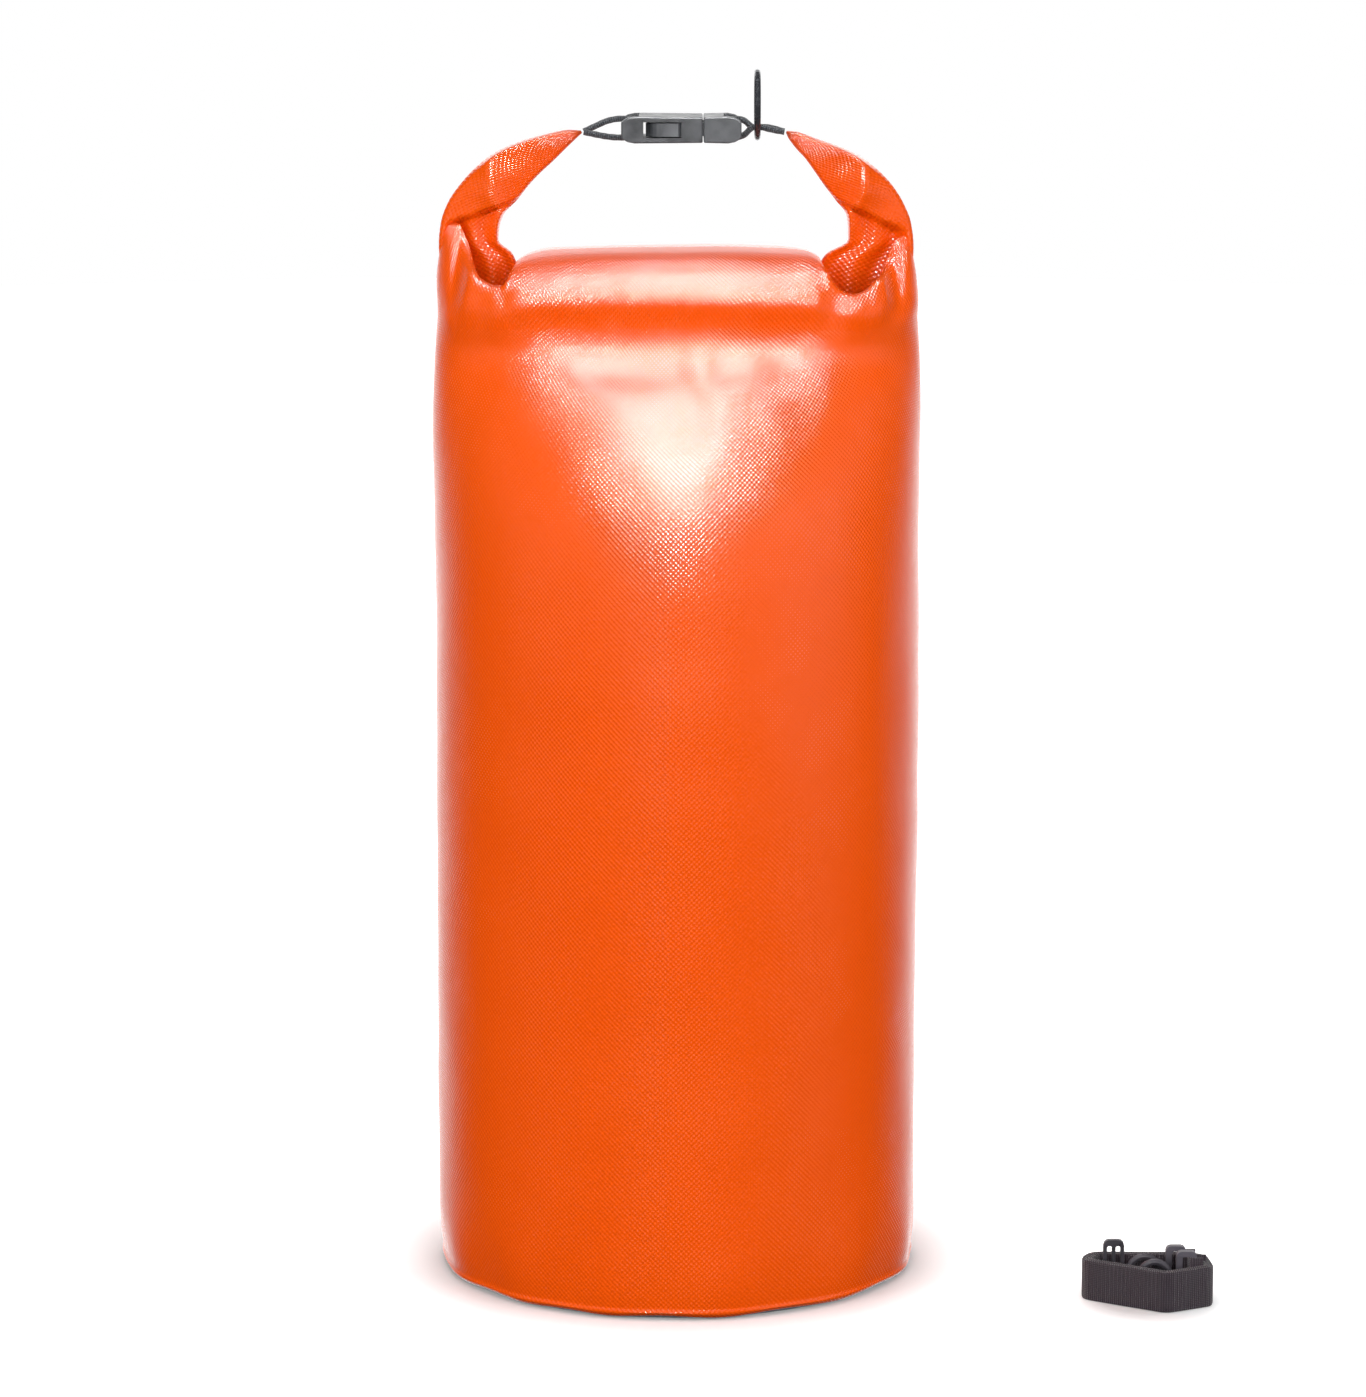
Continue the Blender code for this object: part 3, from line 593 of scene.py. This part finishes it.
# How the front's upper edge runs from the left corner to the right one: (x, height).
FRONT_CREST = (
    (-0.1180, 0.5240),
    (-0.1118, 0.5229),
    (-0.1083, 0.5150),
    (-0.1039, 0.5043),
    (-0.0985, 0.4989),
    (-0.0911, 0.4960),
    (-0.0855, 0.4958),
    (-0.0825, 0.4990),
    (-0.0795, 0.5050),
    (-0.0740, 0.5090),
    (-0.0600, 0.5117),
    (-0.0300, 0.5130),
    (0.0100, 0.5137),
    (0.0450, 0.5128),
    (0.0620, 0.5115),
    (0.0685, 0.5090),
    (0.0720, 0.5040),
    (0.0760, 0.4975),
    (0.0800, 0.4938),
    (0.0860, 0.4920),
    (0.0920, 0.4930),
    (0.0995, 0.4978),
    (0.1074, 0.5033),
    (0.1105, 0.5110),
    (0.1140, 0.5160),
    (0.1180, 0.5180),
)
# The rolled mouth's outer layer: (outwards from the neck, share of the way up to the crest).
ROLL_PATH = (
    (0.0000, 0.000),
    (0.0024, 0.110),
    (0.0036, 0.230),
    (0.0026, 0.400),
    (-0.0020, 0.590),
    (-0.0100, 0.780),
    (-0.0200, 0.920),
    (-0.0330, 0.990),
    (-0.0430, 1.000),
    (-0.0530, 0.940),
    (-0.0620, 0.780),
    (-0.0660, 0.520),
    (-0.0640, 0.220),
    (-0.0560, -0.040),
    (-0.0450, -0.120),
)
# The folded edge of the fabric at each corner, in the same terms.
LIP_PATH = (
    (0.0000, 0.000),
    (0.0004, 0.250),
    (-0.0004, 0.500),
    (-0.0020, 0.750),
    (-0.0034, 0.920),
    (-0.0048, 0.990),
    (-0.0062, 1.000),
    (-0.0076, 0.960),
    (-0.0086, 0.860),
    (-0.0090, 0.650),
    (-0.0092, 0.400),
    (-0.0092, 0.150),
    (-0.0092, -0.100),
    (-0.0092, -0.300),
)
ROLL_ROWS = 40
# How wide the change from roll to corner is, and how the roll plumps up from its ends.
ROLL_END_BLEND = 0.005
PLUMP_LENGTH = 0.030
PLUMP_AT_END = 0.35
# The front's outermost columns lean in towards the horns, from this far out.
HUG_SHARE = 0.8
HUG_FROM_X = 0.1020
HUG_BLEND = 0.008
# The crease at the neck that relax() rounds.
CREASE_SPREAD = 0.0060
CREASE_END_X = 0.112
CREASE_END_BLEND = 0.012
CREASE_PULL = 0.6
STRIP_END_INSET = 0.011
STRIP_EDGE = 0.0004
LEFT_ROLL_END_X = -0.0810
RIGHT_ROLL_END_X = 0.0715


def outward(line):
    """Unit vectors square to a line of (x, y) points, away from the tube's middle."""
    along = np.gradient(line, axis=0)
    along /= np.linalg.norm(along, axis=1)[:, None]
    sideways = np.stack([along[:, 1], -along[:, 0]], axis=1)
    if sideways[len(line) // 2] @ line[len(line) // 2] < 0:
        sideways = -sideways
    return sideways


def front_top(neck_line):
    """Rows of points that carry each column of the front over the roll or into a corner's lip."""
    x, out = neck_line[:, 0], outward(neck_line)
    crest = profile(FRONT_CREST, x)
    in_roll = smooth_steps((x - LEFT_ROLL_END_X) / ROLL_END_BLEND + 0.5)
    in_roll = in_roll * smooth_steps((RIGHT_ROLL_END_X - x) / ROLL_END_BLEND + 0.5)
    roll = resample(smooth_route(ROLL_PATH, 12), ROLL_ROWS)
    lip = resample(smooth_route(LIP_PATH, 12), ROLL_ROWS)
    near_end = np.minimum(x - LEFT_ROLL_END_X, RIGHT_ROLL_END_X - x)
    plump = np.sqrt(smooth_steps(near_end / PLUMP_LENGTH + PLUMP_AT_END))
    hug = HUG_SHARE * smooth_steps((np.abs(x) - HUG_FROM_X) / HUG_BLEND)
    rows = []
    for row in range(1, ROLL_ROWS):
        away = in_roll * roll[row, 0] * plump + (1 - in_roll) * lip[row, 0]
        rise = in_roll * roll[row, 1] + (1 - in_roll) * lip[row, 1]
        facing = out * (1 - in_roll)[:, None] + np.array([0.0, -1.0]) * in_roll[:, None]
        facing /= np.linalg.norm(facing, axis=1)[:, None]
        line = neck_line + facing * away[:, None]
        line[:, 1] *= 1 - hug * np.clip(rise, 0.0, 1.0)
        rows.append(np.column_stack([line, NECK_Z + rise * (crest - NECK_Z)]))
    return rows


BACK_CREST = (
    (-0.1180, 0.5240),
    (-0.1118, 0.5180),
    (-0.1040, 0.5060),
    (-0.0960, 0.4960),
    (-0.0880, 0.4860),
    (0.0880, 0.4850),
    (0.0960, 0.4930),
    (0.1050, 0.5020),
    (0.1110, 0.5120),
    (0.1180, 0.5180),
)


def back_top(neck_line):
    """The back rises only a little and turns in under the roll, but stands up at the corners."""
    x, out = neck_line[:, 0], outward(neck_line)
    crest = profile(BACK_CREST, x)
    lip = resample(smooth_route(LIP_PATH, 12), ROLL_ROWS // 2)
    rows = []
    for row in range(1, ROLL_ROWS // 2):
        line = neck_line + out * lip[row, 0]
        rows.append(np.column_stack([line, NECK_Z + lip[row, 1] * (crest - NECK_Z)]))
    return rows


# Folds in the wall: how deep each kind is, and the height round which it lies, with its spread.
SLACK_DEPTH = 0.0011
DENT_DEPTH = 0.0005
SCALLOP_DEPTH, SCALLOP_Z, SCALLOP_SPREAD = 0.0008, 0.012, 0.020
GATHER_DEPTH, GATHER_Z, GATHER_SPREAD = 0.0016, 0.484, 0.0095
DRAWN_DEPTH, DRAWN_Z, DRAWN_SPREAD = 0.0014, 0.452, 0.030
SCALLOPS = 13


def pucker(points, normals):
    """Small folds where the roll gathers the fabric, slack in the wall and dents near the base."""
    moved = points.copy()
    for index, (point, normal) in enumerate(zip(points, normals)):
        x, y, z = point
        slack = SLACK_DEPTH * ripple(x, y, z * 0.6, 9.0) + DENT_DEPTH * ripple(x + 3, y, z, 26.0)
        angle = math.atan2(y, x)
        scallop = SCALLOP_DEPTH * bell(z, SCALLOP_Z, SCALLOP_SPREAD)
        scallop = scallop * math.sin(SCALLOPS * angle + 0.7 * math.sin(3 * angle))
        gather = bell(z, GATHER_Z, GATHER_SPREAD) * (1 if y < 0.01 else 0.6)
        gathers = GATHER_DEPTH * gather * ripple(x, 0.3 * y, 0.25 * z + 5, 105.0)
        drawn = DRAWN_DEPTH * bell(z, DRAWN_Z, DRAWN_SPREAD)
        drawn = drawn * ripple(x * 0.9 + 0.4 * abs(x), y, 0.2 * z + 9, 38.0)
        moved[index] = point + normal * (slack + scallop + gathers + drawn)
    return moved


def relax(points, faces, rounds=30):
    """Rounds the crease where the roll stands on the shoulder, as the doubled fabric bends there."""
    quads = np.array(faces)
    share = bell(points[:, 2], NECK_Z, CREASE_SPREAD)[:, None]
    share = share * smooth_steps((CREASE_END_X - np.abs(points[:, 0])) / CREASE_END_BLEND)[:, None]
    for _ in range(rounds):
        total = np.zeros_like(points)
        count = np.zeros(len(points))
        for corner in range(4):
            for step in (1, 3):
                np.add.at(total, quads[:, corner], points[quads[:, (corner + step) % 4]])
                np.add.at(count, quads[:, corner], 1)
        points = points + share * CREASE_PULL * (total / np.maximum(count, 1)[:, None] - points)
    return points


def make_bag_skin():
    """The whole fabric shell, cut into the skin and its two upper corners beyond the roll's ends."""
    heights = np.concatenate(
        [
            np.linspace(TUBE_BOTTOM_Z, 0.0075, 14)[:-1],
            np.linspace(0.0075, 0.032, 10),
            np.linspace(0.040, SHOULDER_Z, 44)[:-1],
            np.linspace(SHOULDER_Z, NECK_Z, 40),
        ]
    )
    front_rows, back_rows = [], []
    for z in heights:
        front, back = tube_ring(float(z))
        front_rows.append(np.column_stack([front, np.full(len(front), z)]))
        back_rows.append(np.column_stack([back, np.full(len(back), z)]))
    front_rows += front_top(front_rows[-1][:, :2])
    back_rows += back_top(back_rows[-1][:, :2])
    points = np.concatenate(front_rows + back_rows)
    faces = grid_faces(len(front_rows), HALF_COLUMNS)
    back_start = len(front_rows) * HALF_COLUMNS
    faces += grid_faces(len(back_rows), HALF_COLUMNS, offset=back_start, flipped=True)
    across = np.linspace(0.0, math.pi * RADIUS, HALF_COLUMNS)
    uvs = []
    for rows, side in ((front_rows, 1), (back_rows, -1)):
        climbed = np.zeros(HALF_COLUMNS)
        before = rows[0]
        for line in rows:
            climbed = climbed + np.linalg.norm(line - before, axis=1)
            before = line
            uvs.append(np.column_stack([side * across, climbed]))
    uvs = np.concatenate(uvs)
    corner_uvs = [[uvs[index] for index in face] for face in faces]
    places, quads = weld(points, faces)
    places = relax(places, quads)
    places = pucker(places, smooth_normals(places, quads))
    normals = smooth_normals(places, quads)
    middles = np.array([places[list(quad)].mean(axis=0) for quad in quads])
    high = middles[:, 2] > BEND_START_Z
    left = high & (middles[:, 0] < LEFT_ROLL_END_X - 0.004)
    right = high & (middles[:, 0] > RIGHT_ROLL_END_X + 0.004)
    skin = part_of("bag_skin", places, quads, corner_uvs, normals, ~(left | right), FABRIC)
    corners = {
        "left": part_of("left_corner", places, quads, corner_uvs, normals, left, FABRIC),
        "right": part_of("right_corner", places, quads, corner_uvs, normals, right, FABRIC),
    }
    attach(skin, "bag")
    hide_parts("bag_tube", "rolled_collar")
    for side, pivot in (("left", LEFT_PIVOT), ("right", RIGHT_PIVOT)):
        corner = corners[side]
        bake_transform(corner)


make_bag_skin()


# ---------------------------------------------------------------- horns

HORN_ROWS = 56
HORN_COLUMNS = 34
RIDGE_SOFTNESS = 0.0012
FRONT_EDGE_ROUND = 0.0014
BACK_EDGE_ROUND = 0.0050
CREASE_SOFTNESS = 0.0016
PLEATS = 2.3
PLEAT_BASE = 0.0034
PLEAT_DEPTH = 0.0030
# The cloth across one face of a horn, and how a face that straddles the seam is known.
HORN_CLOTH = 0.032
SEAM_JUMP = 0.03
SEAM_START = 0.02

# Each station across a turned-up end: (inner edge x, z), (outer edge x, z), seen from the front.
LEFT_STATIONS = (
    ((-0.0780, 0.4840), (-0.1120, 0.4800)),
    ((-0.0780, 0.4990), (-0.1150, 0.4900)),
    ((-0.0805, 0.5080), (-0.1165, 0.5010)),
    ((-0.0876, 0.5150), (-0.1171, 0.5130)),
    ((-0.0870, 0.5215), (-0.1160, 0.5235)),
    ((-0.0850, 0.5275), (-0.1124, 0.5335)),
    ((-0.0784, 0.5346), (-0.1062, 0.5425)),
    ((-0.0725, 0.5420), (-0.0990, 0.5503)),
    ((-0.0670, 0.5478), (-0.0905, 0.5572)),
    ((-0.0601, 0.5542), (-0.0800, 0.5622)),
    ((-0.0542, 0.5600), (-0.0660, 0.5665)),
    ((-0.0488, 0.5652), (-0.0530, 0.5690)),
    ((-0.0464, 0.5674), (-0.0470, 0.5686)),
)
RIGHT_STATIONS = (
    ((0.0690, 0.4830), (0.1110, 0.4780)),
    ((0.0690, 0.4980), (0.1140, 0.4880)),
    ((0.0725, 0.5075), (0.1160, 0.5000)),
    ((0.0840, 0.5150), (0.1164, 0.5120)),
    ((0.0838, 0.5215), (0.1150, 0.5235)),
    ((0.0830, 0.5275), (0.1118, 0.5320)),
    ((0.0778, 0.5346), (0.1060, 0.5415)),
    ((0.0728, 0.5410), (0.0990, 0.5490)),
    ((0.0680, 0.5478), (0.0900, 0.5560)),
    ((0.0628, 0.5550), (0.0800, 0.5608)),
    ((0.0582, 0.5600), (0.0690, 0.5645)),
    ((0.0545, 0.5650), (0.0580, 0.5682)),
    ((0.0534, 0.5674), (0.0538, 0.5684)),
)
# How far across the ridge between the two front facets lies, and the section's depths,
# station by station: (ridge share, depth at the inner edge, at the ridge, at the outer edge, behind).
FOLDS = (
    (0.02, 0.0060, 0.0070, 0.0030, 0.0250),
    (0.02, 0.0060, 0.0075, 0.0030, 0.0260),
    (0.02, 0.0065, 0.0085, 0.0028, 0.0250),
    (0.02, 0.0070, 0.0095, 0.0026, 0.0210),
    (0.02, 0.0080, 0.0105, 0.0024, 0.0165),
    (0.04, 0.0085, 0.0115, 0.0024, 0.0130),
    (0.46, 0.0036, 0.0130, 0.0022, 0.0095),
    (0.74, 0.0030, 0.0125, 0.0030, 0.0090),
    (0.98, 0.0026, 0.0100, 0.0085, 0.0080),
    (0.98, 0.0022, 0.0080, 0.0070, 0.0070),
    (0.98, 0.0020, 0.0060, 0.0054, 0.0055),
    (0.98, 0.0018, 0.0034, 0.0032, 0.0035),
    (0.98, 0.0010, 0.0014, 0.0013, 0.0014),
)


def station_curve(values, count):
    """Values given station by station, read smoothly at more places along the horn."""
    at = np.linspace(0.0, 1.0, len(values))
    wanted = np.linspace(0.0, 1.0, count)
    table = np.asarray(values, float)
    columns = [profile(tuple(zip(at, table[:, axis])), wanted) for axis in range(table.shape[1])]
    return np.stack(columns, axis=1)


def make_horn(side, stations, crease):
    """One turned-up end of the roll: two facets that meet at a ridge, with pleats below its crease."""
    (crease_x, crease_z), slope = crease
    inner = station_curve([station[0] for station in stations], HORN_ROWS)
    outer = station_curve([station[1] for station in stations], HORN_ROWS)
    folds = station_curve(FOLDS, HORN_ROWS)
    share = np.linspace(0.0, 1.0, HORN_COLUMNS)
    share = 0.5 - 0.5 * np.cos(math.pi * share)
    rows = []
    climbed = 0.0
    uvs = []
    for row in range(HORN_ROWS):
        ridge, at_inner, at_ridge, at_outer, behind = folds[row]
        ridge = min(max(ridge, 0.02), 0.98)
        rising = at_inner + (at_ridge - at_inner) * share / ridge
        falling = at_ridge + (at_outer - at_ridge) * (share - ridge) / (1 - ridge)
        gap = rising - falling
        blunted = np.sqrt(gap * gap + RIDGE_SOFTNESS * RIDGE_SOFTNESS)
        depth = 0.5 * (rising + falling - blunted) + 0.4 * RIDGE_SOFTNESS
        flat_x = inner[row, 0] + (outer[row, 0] - inner[row, 0]) * share
        flat_z = inner[row, 1] + (outer[row, 1] - inner[row, 1]) * share
        to_edge = np.minimum(share, 1 - share) * np.linalg.norm(outer[row] - inner[row])
        under_crease = crease_z - flat_z + (flat_x - crease_x) * slope
        low = smooth_steps(under_crease / CREASE_SOFTNESS + 0.5)
        low = low * smooth_steps((0.93 - share) / 0.10)
        pleat = 0.5 + 0.5 * np.cos(TAU * (share * PLEATS + 0.02 + 0.18 * np.sin(row * 0.21)))
        depth = depth - low * (PLEAT_BASE + PLEAT_DEPTH * (1 - pleat))
        depth = depth + 0.0006 * np.array([ripple(x, 0.0, z, 90.0) for x, z in zip(flat_x, flat_z)])
        edge = np.sqrt(np.clip(to_edge / FRONT_EDGE_ROUND, 0.0, 1.0))
        front = -depth * edge
        back_edge = np.sqrt(np.clip(to_edge / BACK_EDGE_ROUND, 0.0, 1.0))
        crown = 1 - 0.35 * (2 * share - 1) ** 2
        back = behind * crown * back_edge
        back = back + 0.0005 * np.array([ripple(x, 1.0, z, 70.0) for x, z in zip(flat_x, flat_z)])
        ring = np.concatenate(
            [
                np.column_stack([flat_x, front, flat_z]),
                np.column_stack([flat_x, back, flat_z])[::-1][1:-1],
            ]
        )
        rows.append(ring)
        if row:
            climbed += np.linalg.norm((inner[row] + outer[row] - inner[row - 1] - outer[row - 1]) / 2)
        run = np.concatenate([share, 2 - share[::-1][1:-1]]) * HORN_CLOTH
        uvs.append(np.column_stack([run, np.full(len(run), climbed)]))
    columns = len(rows[0])
    points = np.concatenate(rows)
    uvs = np.concatenate(uvs)
    faces = grid_faces(HORN_ROWS, columns, closed=True, flipped=side == "left")
    corner_uvs = []
    for face in faces:
        pairs = [uvs[index].copy() for index in face]
        if max(pair[0] for pair in pairs) - min(pair[0] for pair in pairs) > SEAM_JUMP:
            for pair in pairs:
                if pair[0] < SEAM_START:
                    pair[0] += 2 * HORN_CLOTH
        corner_uvs.append(pairs)
    normals = smooth_normals(points, faces)
    horn = write_mesh(f"{side}_horn", points, faces, corner_uvs, FABRIC, normals)
    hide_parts(f"{side}_roll_end")
    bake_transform(horn)


make_horn("left", LEFT_STATIONS, ((-0.0985, 0.5278), 0.37))
make_horn("right", RIGHT_STATIONS, ((0.0950, 0.5270), -0.50))


# ---------------------------------------------------------------- hard pieces


def dress(node, material):
    """Shows a CAD solid as it is, in one material."""
    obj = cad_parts[node]
    obj.data.materials.clear()
    obj.data.materials.append(material)


for node in ("buckle_socket", "buckle_plug", "front_prong", "back_prong"):
    dress(node, BUCKLE_PLASTIC)
for node in ("strap_slider", "hook_a_body", "hook_a_gate", "hook_b_body", "hook_b_gate"):
    dress(node, HOOK_PLASTIC)


def make_strip(node):
    """A flat stiffening strip, shorter than the CAD's. Its ends still cut the roll's skin."""
    low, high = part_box(node)
    left, right = LEFT_ROLL_END_X + STRIP_END_INSET, RIGHT_ROLL_END_X - STRIP_END_INSET
    section = (
        (low.y, low.z + STRIP_EDGE),
        (low.y, high.z - STRIP_EDGE),
        ((low.y + high.y) / 2, high.z),
        (high.y, high.z - STRIP_EDGE),
        (high.y, low.z + STRIP_EDGE),
        ((low.y + high.y) / 2, low.z),
    )
    count = len(section)
    points = [(x, y, z) for x in (left, right) for y, z in section]
    faces = grid_faces(2, count, closed=True)
    faces += [tuple(range(count))[::-1], tuple(range(count, 2 * count))]
    corner_uvs = [[(points[number][0], points[number][2]) for number in face] for face in faces]
    strip = write_mesh(f"{node}_strip", points, faces, corner_uvs, STRIP_PLASTIC)
    strip.data.shade_flat()
    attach(strip, "bag")
    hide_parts(node)


make_strip("stiffener_front")
make_strip("stiffener_back")

dress("ring", METAL)
dress("bottom_disc", BASE)


# ---------------------------------------------------------------- cords

BUCKLE_Z = 0.5698
CORD_RADIUS = 0.0015
CORD_SIDE_Y = 0.0018
CORD_LOOP_RADIUS = 0.0044
CORD_COLUMNS = 14
CORD_ROWS = 150
CORD_LAY = 0.0044
CORD_TIP_DROP = 0.0018
LOOP_STEPS = 6


def cord_route(tip_x, outer, inner, bar_x, way):
    """Out from the roll's end, round the buckle's bar and back: way is +1 or -1, towards the bar."""
    front = [(x, CORD_SIDE_Y, BUCKLE_Z + rise) for x, rise in outer]
    back = [(x, -CORD_SIDE_Y, BUCKLE_Z + rise) for x, rise in inner]
    loop = []
    for step in range(LOOP_STEPS + 1):
        angle = math.pi / 2 - math.pi * step / LOOP_STEPS
        loop.append(
            (
                bar_x + way * CORD_LOOP_RADIUS * math.cos(angle),
                CORD_SIDE_Y * (1 - 2 * step / LOOP_STEPS),
                BUCKLE_Z + CORD_LOOP_RADIUS * math.sin(angle),
            )
        )
    tip_z = BUCKLE_Z - CORD_TIP_DROP
    start = (tip_x, CORD_SIDE_Y, tip_z)
    stop = (tip_x, -CORD_SIDE_Y, tip_z)
    return smooth_route([start, *front, *loop, *back, stop], 8)


def make_cord(side, route):
    """A round braided cord with closed ends, which rides on its roll end."""
    length = float(np.linalg.norm(np.diff(route, axis=0), axis=1).sum())
    line = resample(route, CORD_ROWS)
    along = np.gradient(line, axis=0)
    along /= np.linalg.norm(along, axis=1)[:, None]
    points, runs = [], []
    across = np.array([0.0, 1.0, 0.0])
    for index, (place, way) in enumerate(zip(line, along)):
        across = across - way * (across @ way)
        across /= np.linalg.norm(across)
        upward = np.cross(way, across)
        run = length * index / (len(line) - 1)
        for column in range(CORD_COLUMNS):
            angle = TAU * column / CORD_COLUMNS
            strand = 1 + 0.035 * math.cos(4 * angle + TAU * run / CORD_LAY)
            offset = math.cos(angle) * across + math.sin(angle) * upward
            points.append(place + offset * CORD_RADIUS * strand)
        runs.append(run)
    faces = grid_faces(len(line), CORD_COLUMNS, closed=True)
    corner_uvs = []
    for row in range(len(line) - 1):
        for column in range(CORD_COLUMNS):
            low, high = column / CORD_COLUMNS, (column + 1) / CORD_COLUMNS
            corner_uvs.append(
                [(low, runs[row]), (high, runs[row]), (high, runs[row + 1]), (low, runs[row + 1])]
            )
    last = (len(line) - 1) * CORD_COLUMNS
    for cap in (tuple(range(CORD_COLUMNS))[::-1], tuple(range(last, last + CORD_COLUMNS))):
        faces.append(cap)
        corner_uvs.append([(0.0, 0.0)] * CORD_COLUMNS)
    cord = write_mesh(f"{side}_braid", points, faces, corner_uvs, BRAID)
    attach(cord, f"{side}_end")
    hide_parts(f"{side}_cord")


make_cord(
    "left",
    cord_route(
        -0.0456,
        ((-0.0400, 0.0008), (-0.0345, 0.0032), (-0.0295, 0.0043)),
        ((-0.0295, -0.0045), (-0.0345, -0.0040), (-0.0400, -0.0030)),
        -0.0253,
        1,
    ),
)
make_cord(
    "right",
    cord_route(
        0.0526,
        ((0.0460, 0.0), (0.0418, 0.0004), (0.0370, 0.0004), (0.0332, 0.0034)),
        ((0.0332, -0.0030), (0.0370, 0.0004), (0.0418, 0.0004), (0.0460, -0.0006)),
        0.0297,
        -1,
    ),
)


# ---------------------------------------------------------------- shoulder strap

# Corners of the coil's outline seen from above, each with its fillet's radius.
COIL_CORNERS = (
    ((0.1965, -0.0800), 0.008),
    ((0.2387, -0.1070), 0.008),
    ((0.2645, -0.0940), 0.008),
    ((0.2625, -0.0670), 0.010),
    ((0.2045, -0.0650), 0.009),
)
TAPE_THICKNESS = 0.0011
TAPE_PITCH = 0.00136
TURNS = 4
RING_POINTS = 180
COIL_LOW_Z = 0.0003
LEAD_LOW_Z = 0.0036
TAPE_ROW_PITCH = 0.00042
# The tape's section from its lower edge up: (height, half thickness as a share of the whole).
TAPE_SECTION = (
    (0.0, 0.20),
    (0.0006, 0.44),
    (0.0016, 0.50),
    (0.010, 0.50),
    (0.0184, 0.50),
    (0.0194, 0.44),
    (0.0200, 0.20),
)
TAPE_UPPER = 0.015
RIB_LENGTH = 0.0021
RIB_SWELL = 0.10
EDGE_WAVE = 0.00022
LEAD_BAR_INSET = 0.0015
LEAD_WRAP = 0.0030
LEAD_STEPS = 12


def rounded_polygon(corners, steps=9):
    """A closed anticlockwise outline through (point, radius) corners, each rounded by a fillet."""
    outline = []
    count = len(corners)
    for index, (corner, radius) in enumerate(corners):
        here = Vector(corner)
        back = (Vector(corners[index - 1][0]) - here).normalized()
        ahead = (Vector(corners[(index + 1) % count][0]) - here).normalized()
        half_angle = back.angle(ahead) / 2
        start = here + back * radius / math.tan(half_angle)
        centre = here + (back + ahead).normalized() * radius / math.sin(half_angle)
        spoke = start - centre
        first = math.atan2(spoke.y, spoke.x)
        turn = math.pi - 2 * half_angle
        for step in range(steps + 1):
            angle = first + turn * step / steps
            outline.append((centre.x + radius * math.cos(angle), centre.y + radius * math.sin(angle)))
    return np.array(outline)


def coil_route():
    """The tape's middle line, spiralling inwards through all its turns."""
    outline = rounded_polygon(COIL_CORNERS)
    ring = resample(np.vstack([outline, outline[:1]]), RING_POINTS + 1)[:-1]
    start = int(np.argmax(ring[:, 1] + 0.2 * ring[:, 0]))
    ring = np.roll(ring, -start, axis=0)
    along = np.roll(ring, -1, axis=0) - np.roll(ring, 1, axis=0)
    along /= np.linalg.norm(along, axis=1)[:, None]
    inward = np.stack([-along[:, 1], along[:, 0]], axis=1)
    route = []
    for turn in range(TURNS):
        for index in range(len(ring)):
            depth = TAPE_THICKNESS / 2 + TAPE_PITCH * (turn + index / len(ring))
            route.append(ring[index] + inward[index] * min(depth, TAPE_PITCH * TURNS - 0.0004))
    return np.array(route)


def make_tape(name, route, low_z, ribs=True):
    """Ribbed webbing standing on its edge along a route seen from above."""
    length = float(np.linalg.norm(np.diff(route, axis=0), axis=1).sum())
    count = max(int(length / TAPE_ROW_PITCH), 8)
    line = resample(route, count)
    along = np.gradient(line, axis=0)
    along /= np.linalg.norm(along, axis=1)[:, None]
    sideways = np.stack([-along[:, 1], along[:, 0]], axis=1)
    section = [*TAPE_SECTION, *((z, -half) for z, half in TAPE_SECTION[::-1])]
    rows, uvs = [], []
    run = 0.0
    for index in range(count):
        if index:
            run += float(np.linalg.norm(line[index] - line[index - 1]))
        rib = 1 + (RIB_SWELL * math.cos(TAU * run / RIB_LENGTH) if ribs else 0.0)
        edge = EDGE_WAVE * noise.noise(Vector((run * 60.0, 0.0, 3.0)))
        for z, half in section:
            offset = half * TAPE_THICKNESS * rib
            x, y = line[index] + sideways[index] * offset
            rows.append((x, y, low_z + z + (edge if z > TAPE_UPPER else 0.0)))
            uvs.append((run, z))
    faces = grid_faces(count, len(section), closed=True)
    corner_uvs = [[uvs[number] for number in face] for face in faces]
    last = (count - 1) * len(section)
    for cap in (tuple(range(len(section)))[::-1], tuple(range(last, last + len(section)))):
        faces.append(cap)
        corner_uvs.append([uvs[number] for number in cap])
    tape = write_mesh(name, rows, faces, corner_uvs, WEBBING)
    tape.data.set_sharp_from_angle(angle=math.radians(50))
    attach(tape, "strap")
    return tape


coil = make_tape("strap_coil", coil_route(), COIL_LOW_Z)
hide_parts("strap_webbing")


def lead_route(eye_x, y, start, stop):
    """A short fold of tape round the outer bar of a hook's eye."""
    bar_x = eye_x - LEAD_BAR_INSET
    arc = []
    for step in range(LEAD_STEPS + 1):
        angle = math.radians(90 + 180 * step / LEAD_STEPS)
        arc.append((bar_x + LEAD_WRAP * 0.8 * math.cos(angle), y + LEAD_WRAP * math.sin(angle)))
    return smooth_route([*start, *arc, *stop], 6)


def make_leads():
    """Stand-ins for the strap's sewn ends. They cut into the hooks and the coil, and don't join it."""
    for name, node in (("lead_a", "hook_a_body"), ("lead_b", "hook_b_body")):
        low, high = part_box(node)
        y = (low.y + high.y) / 2
        start = ((high.x + 0.0050, y + 0.0034),)
        stop = ((high.x + 0.0030, y - 0.0030),)
        make_tape(name, lead_route(high.x, y, start, stop), LEAD_LOW_Z, ribs=False)


make_leads()
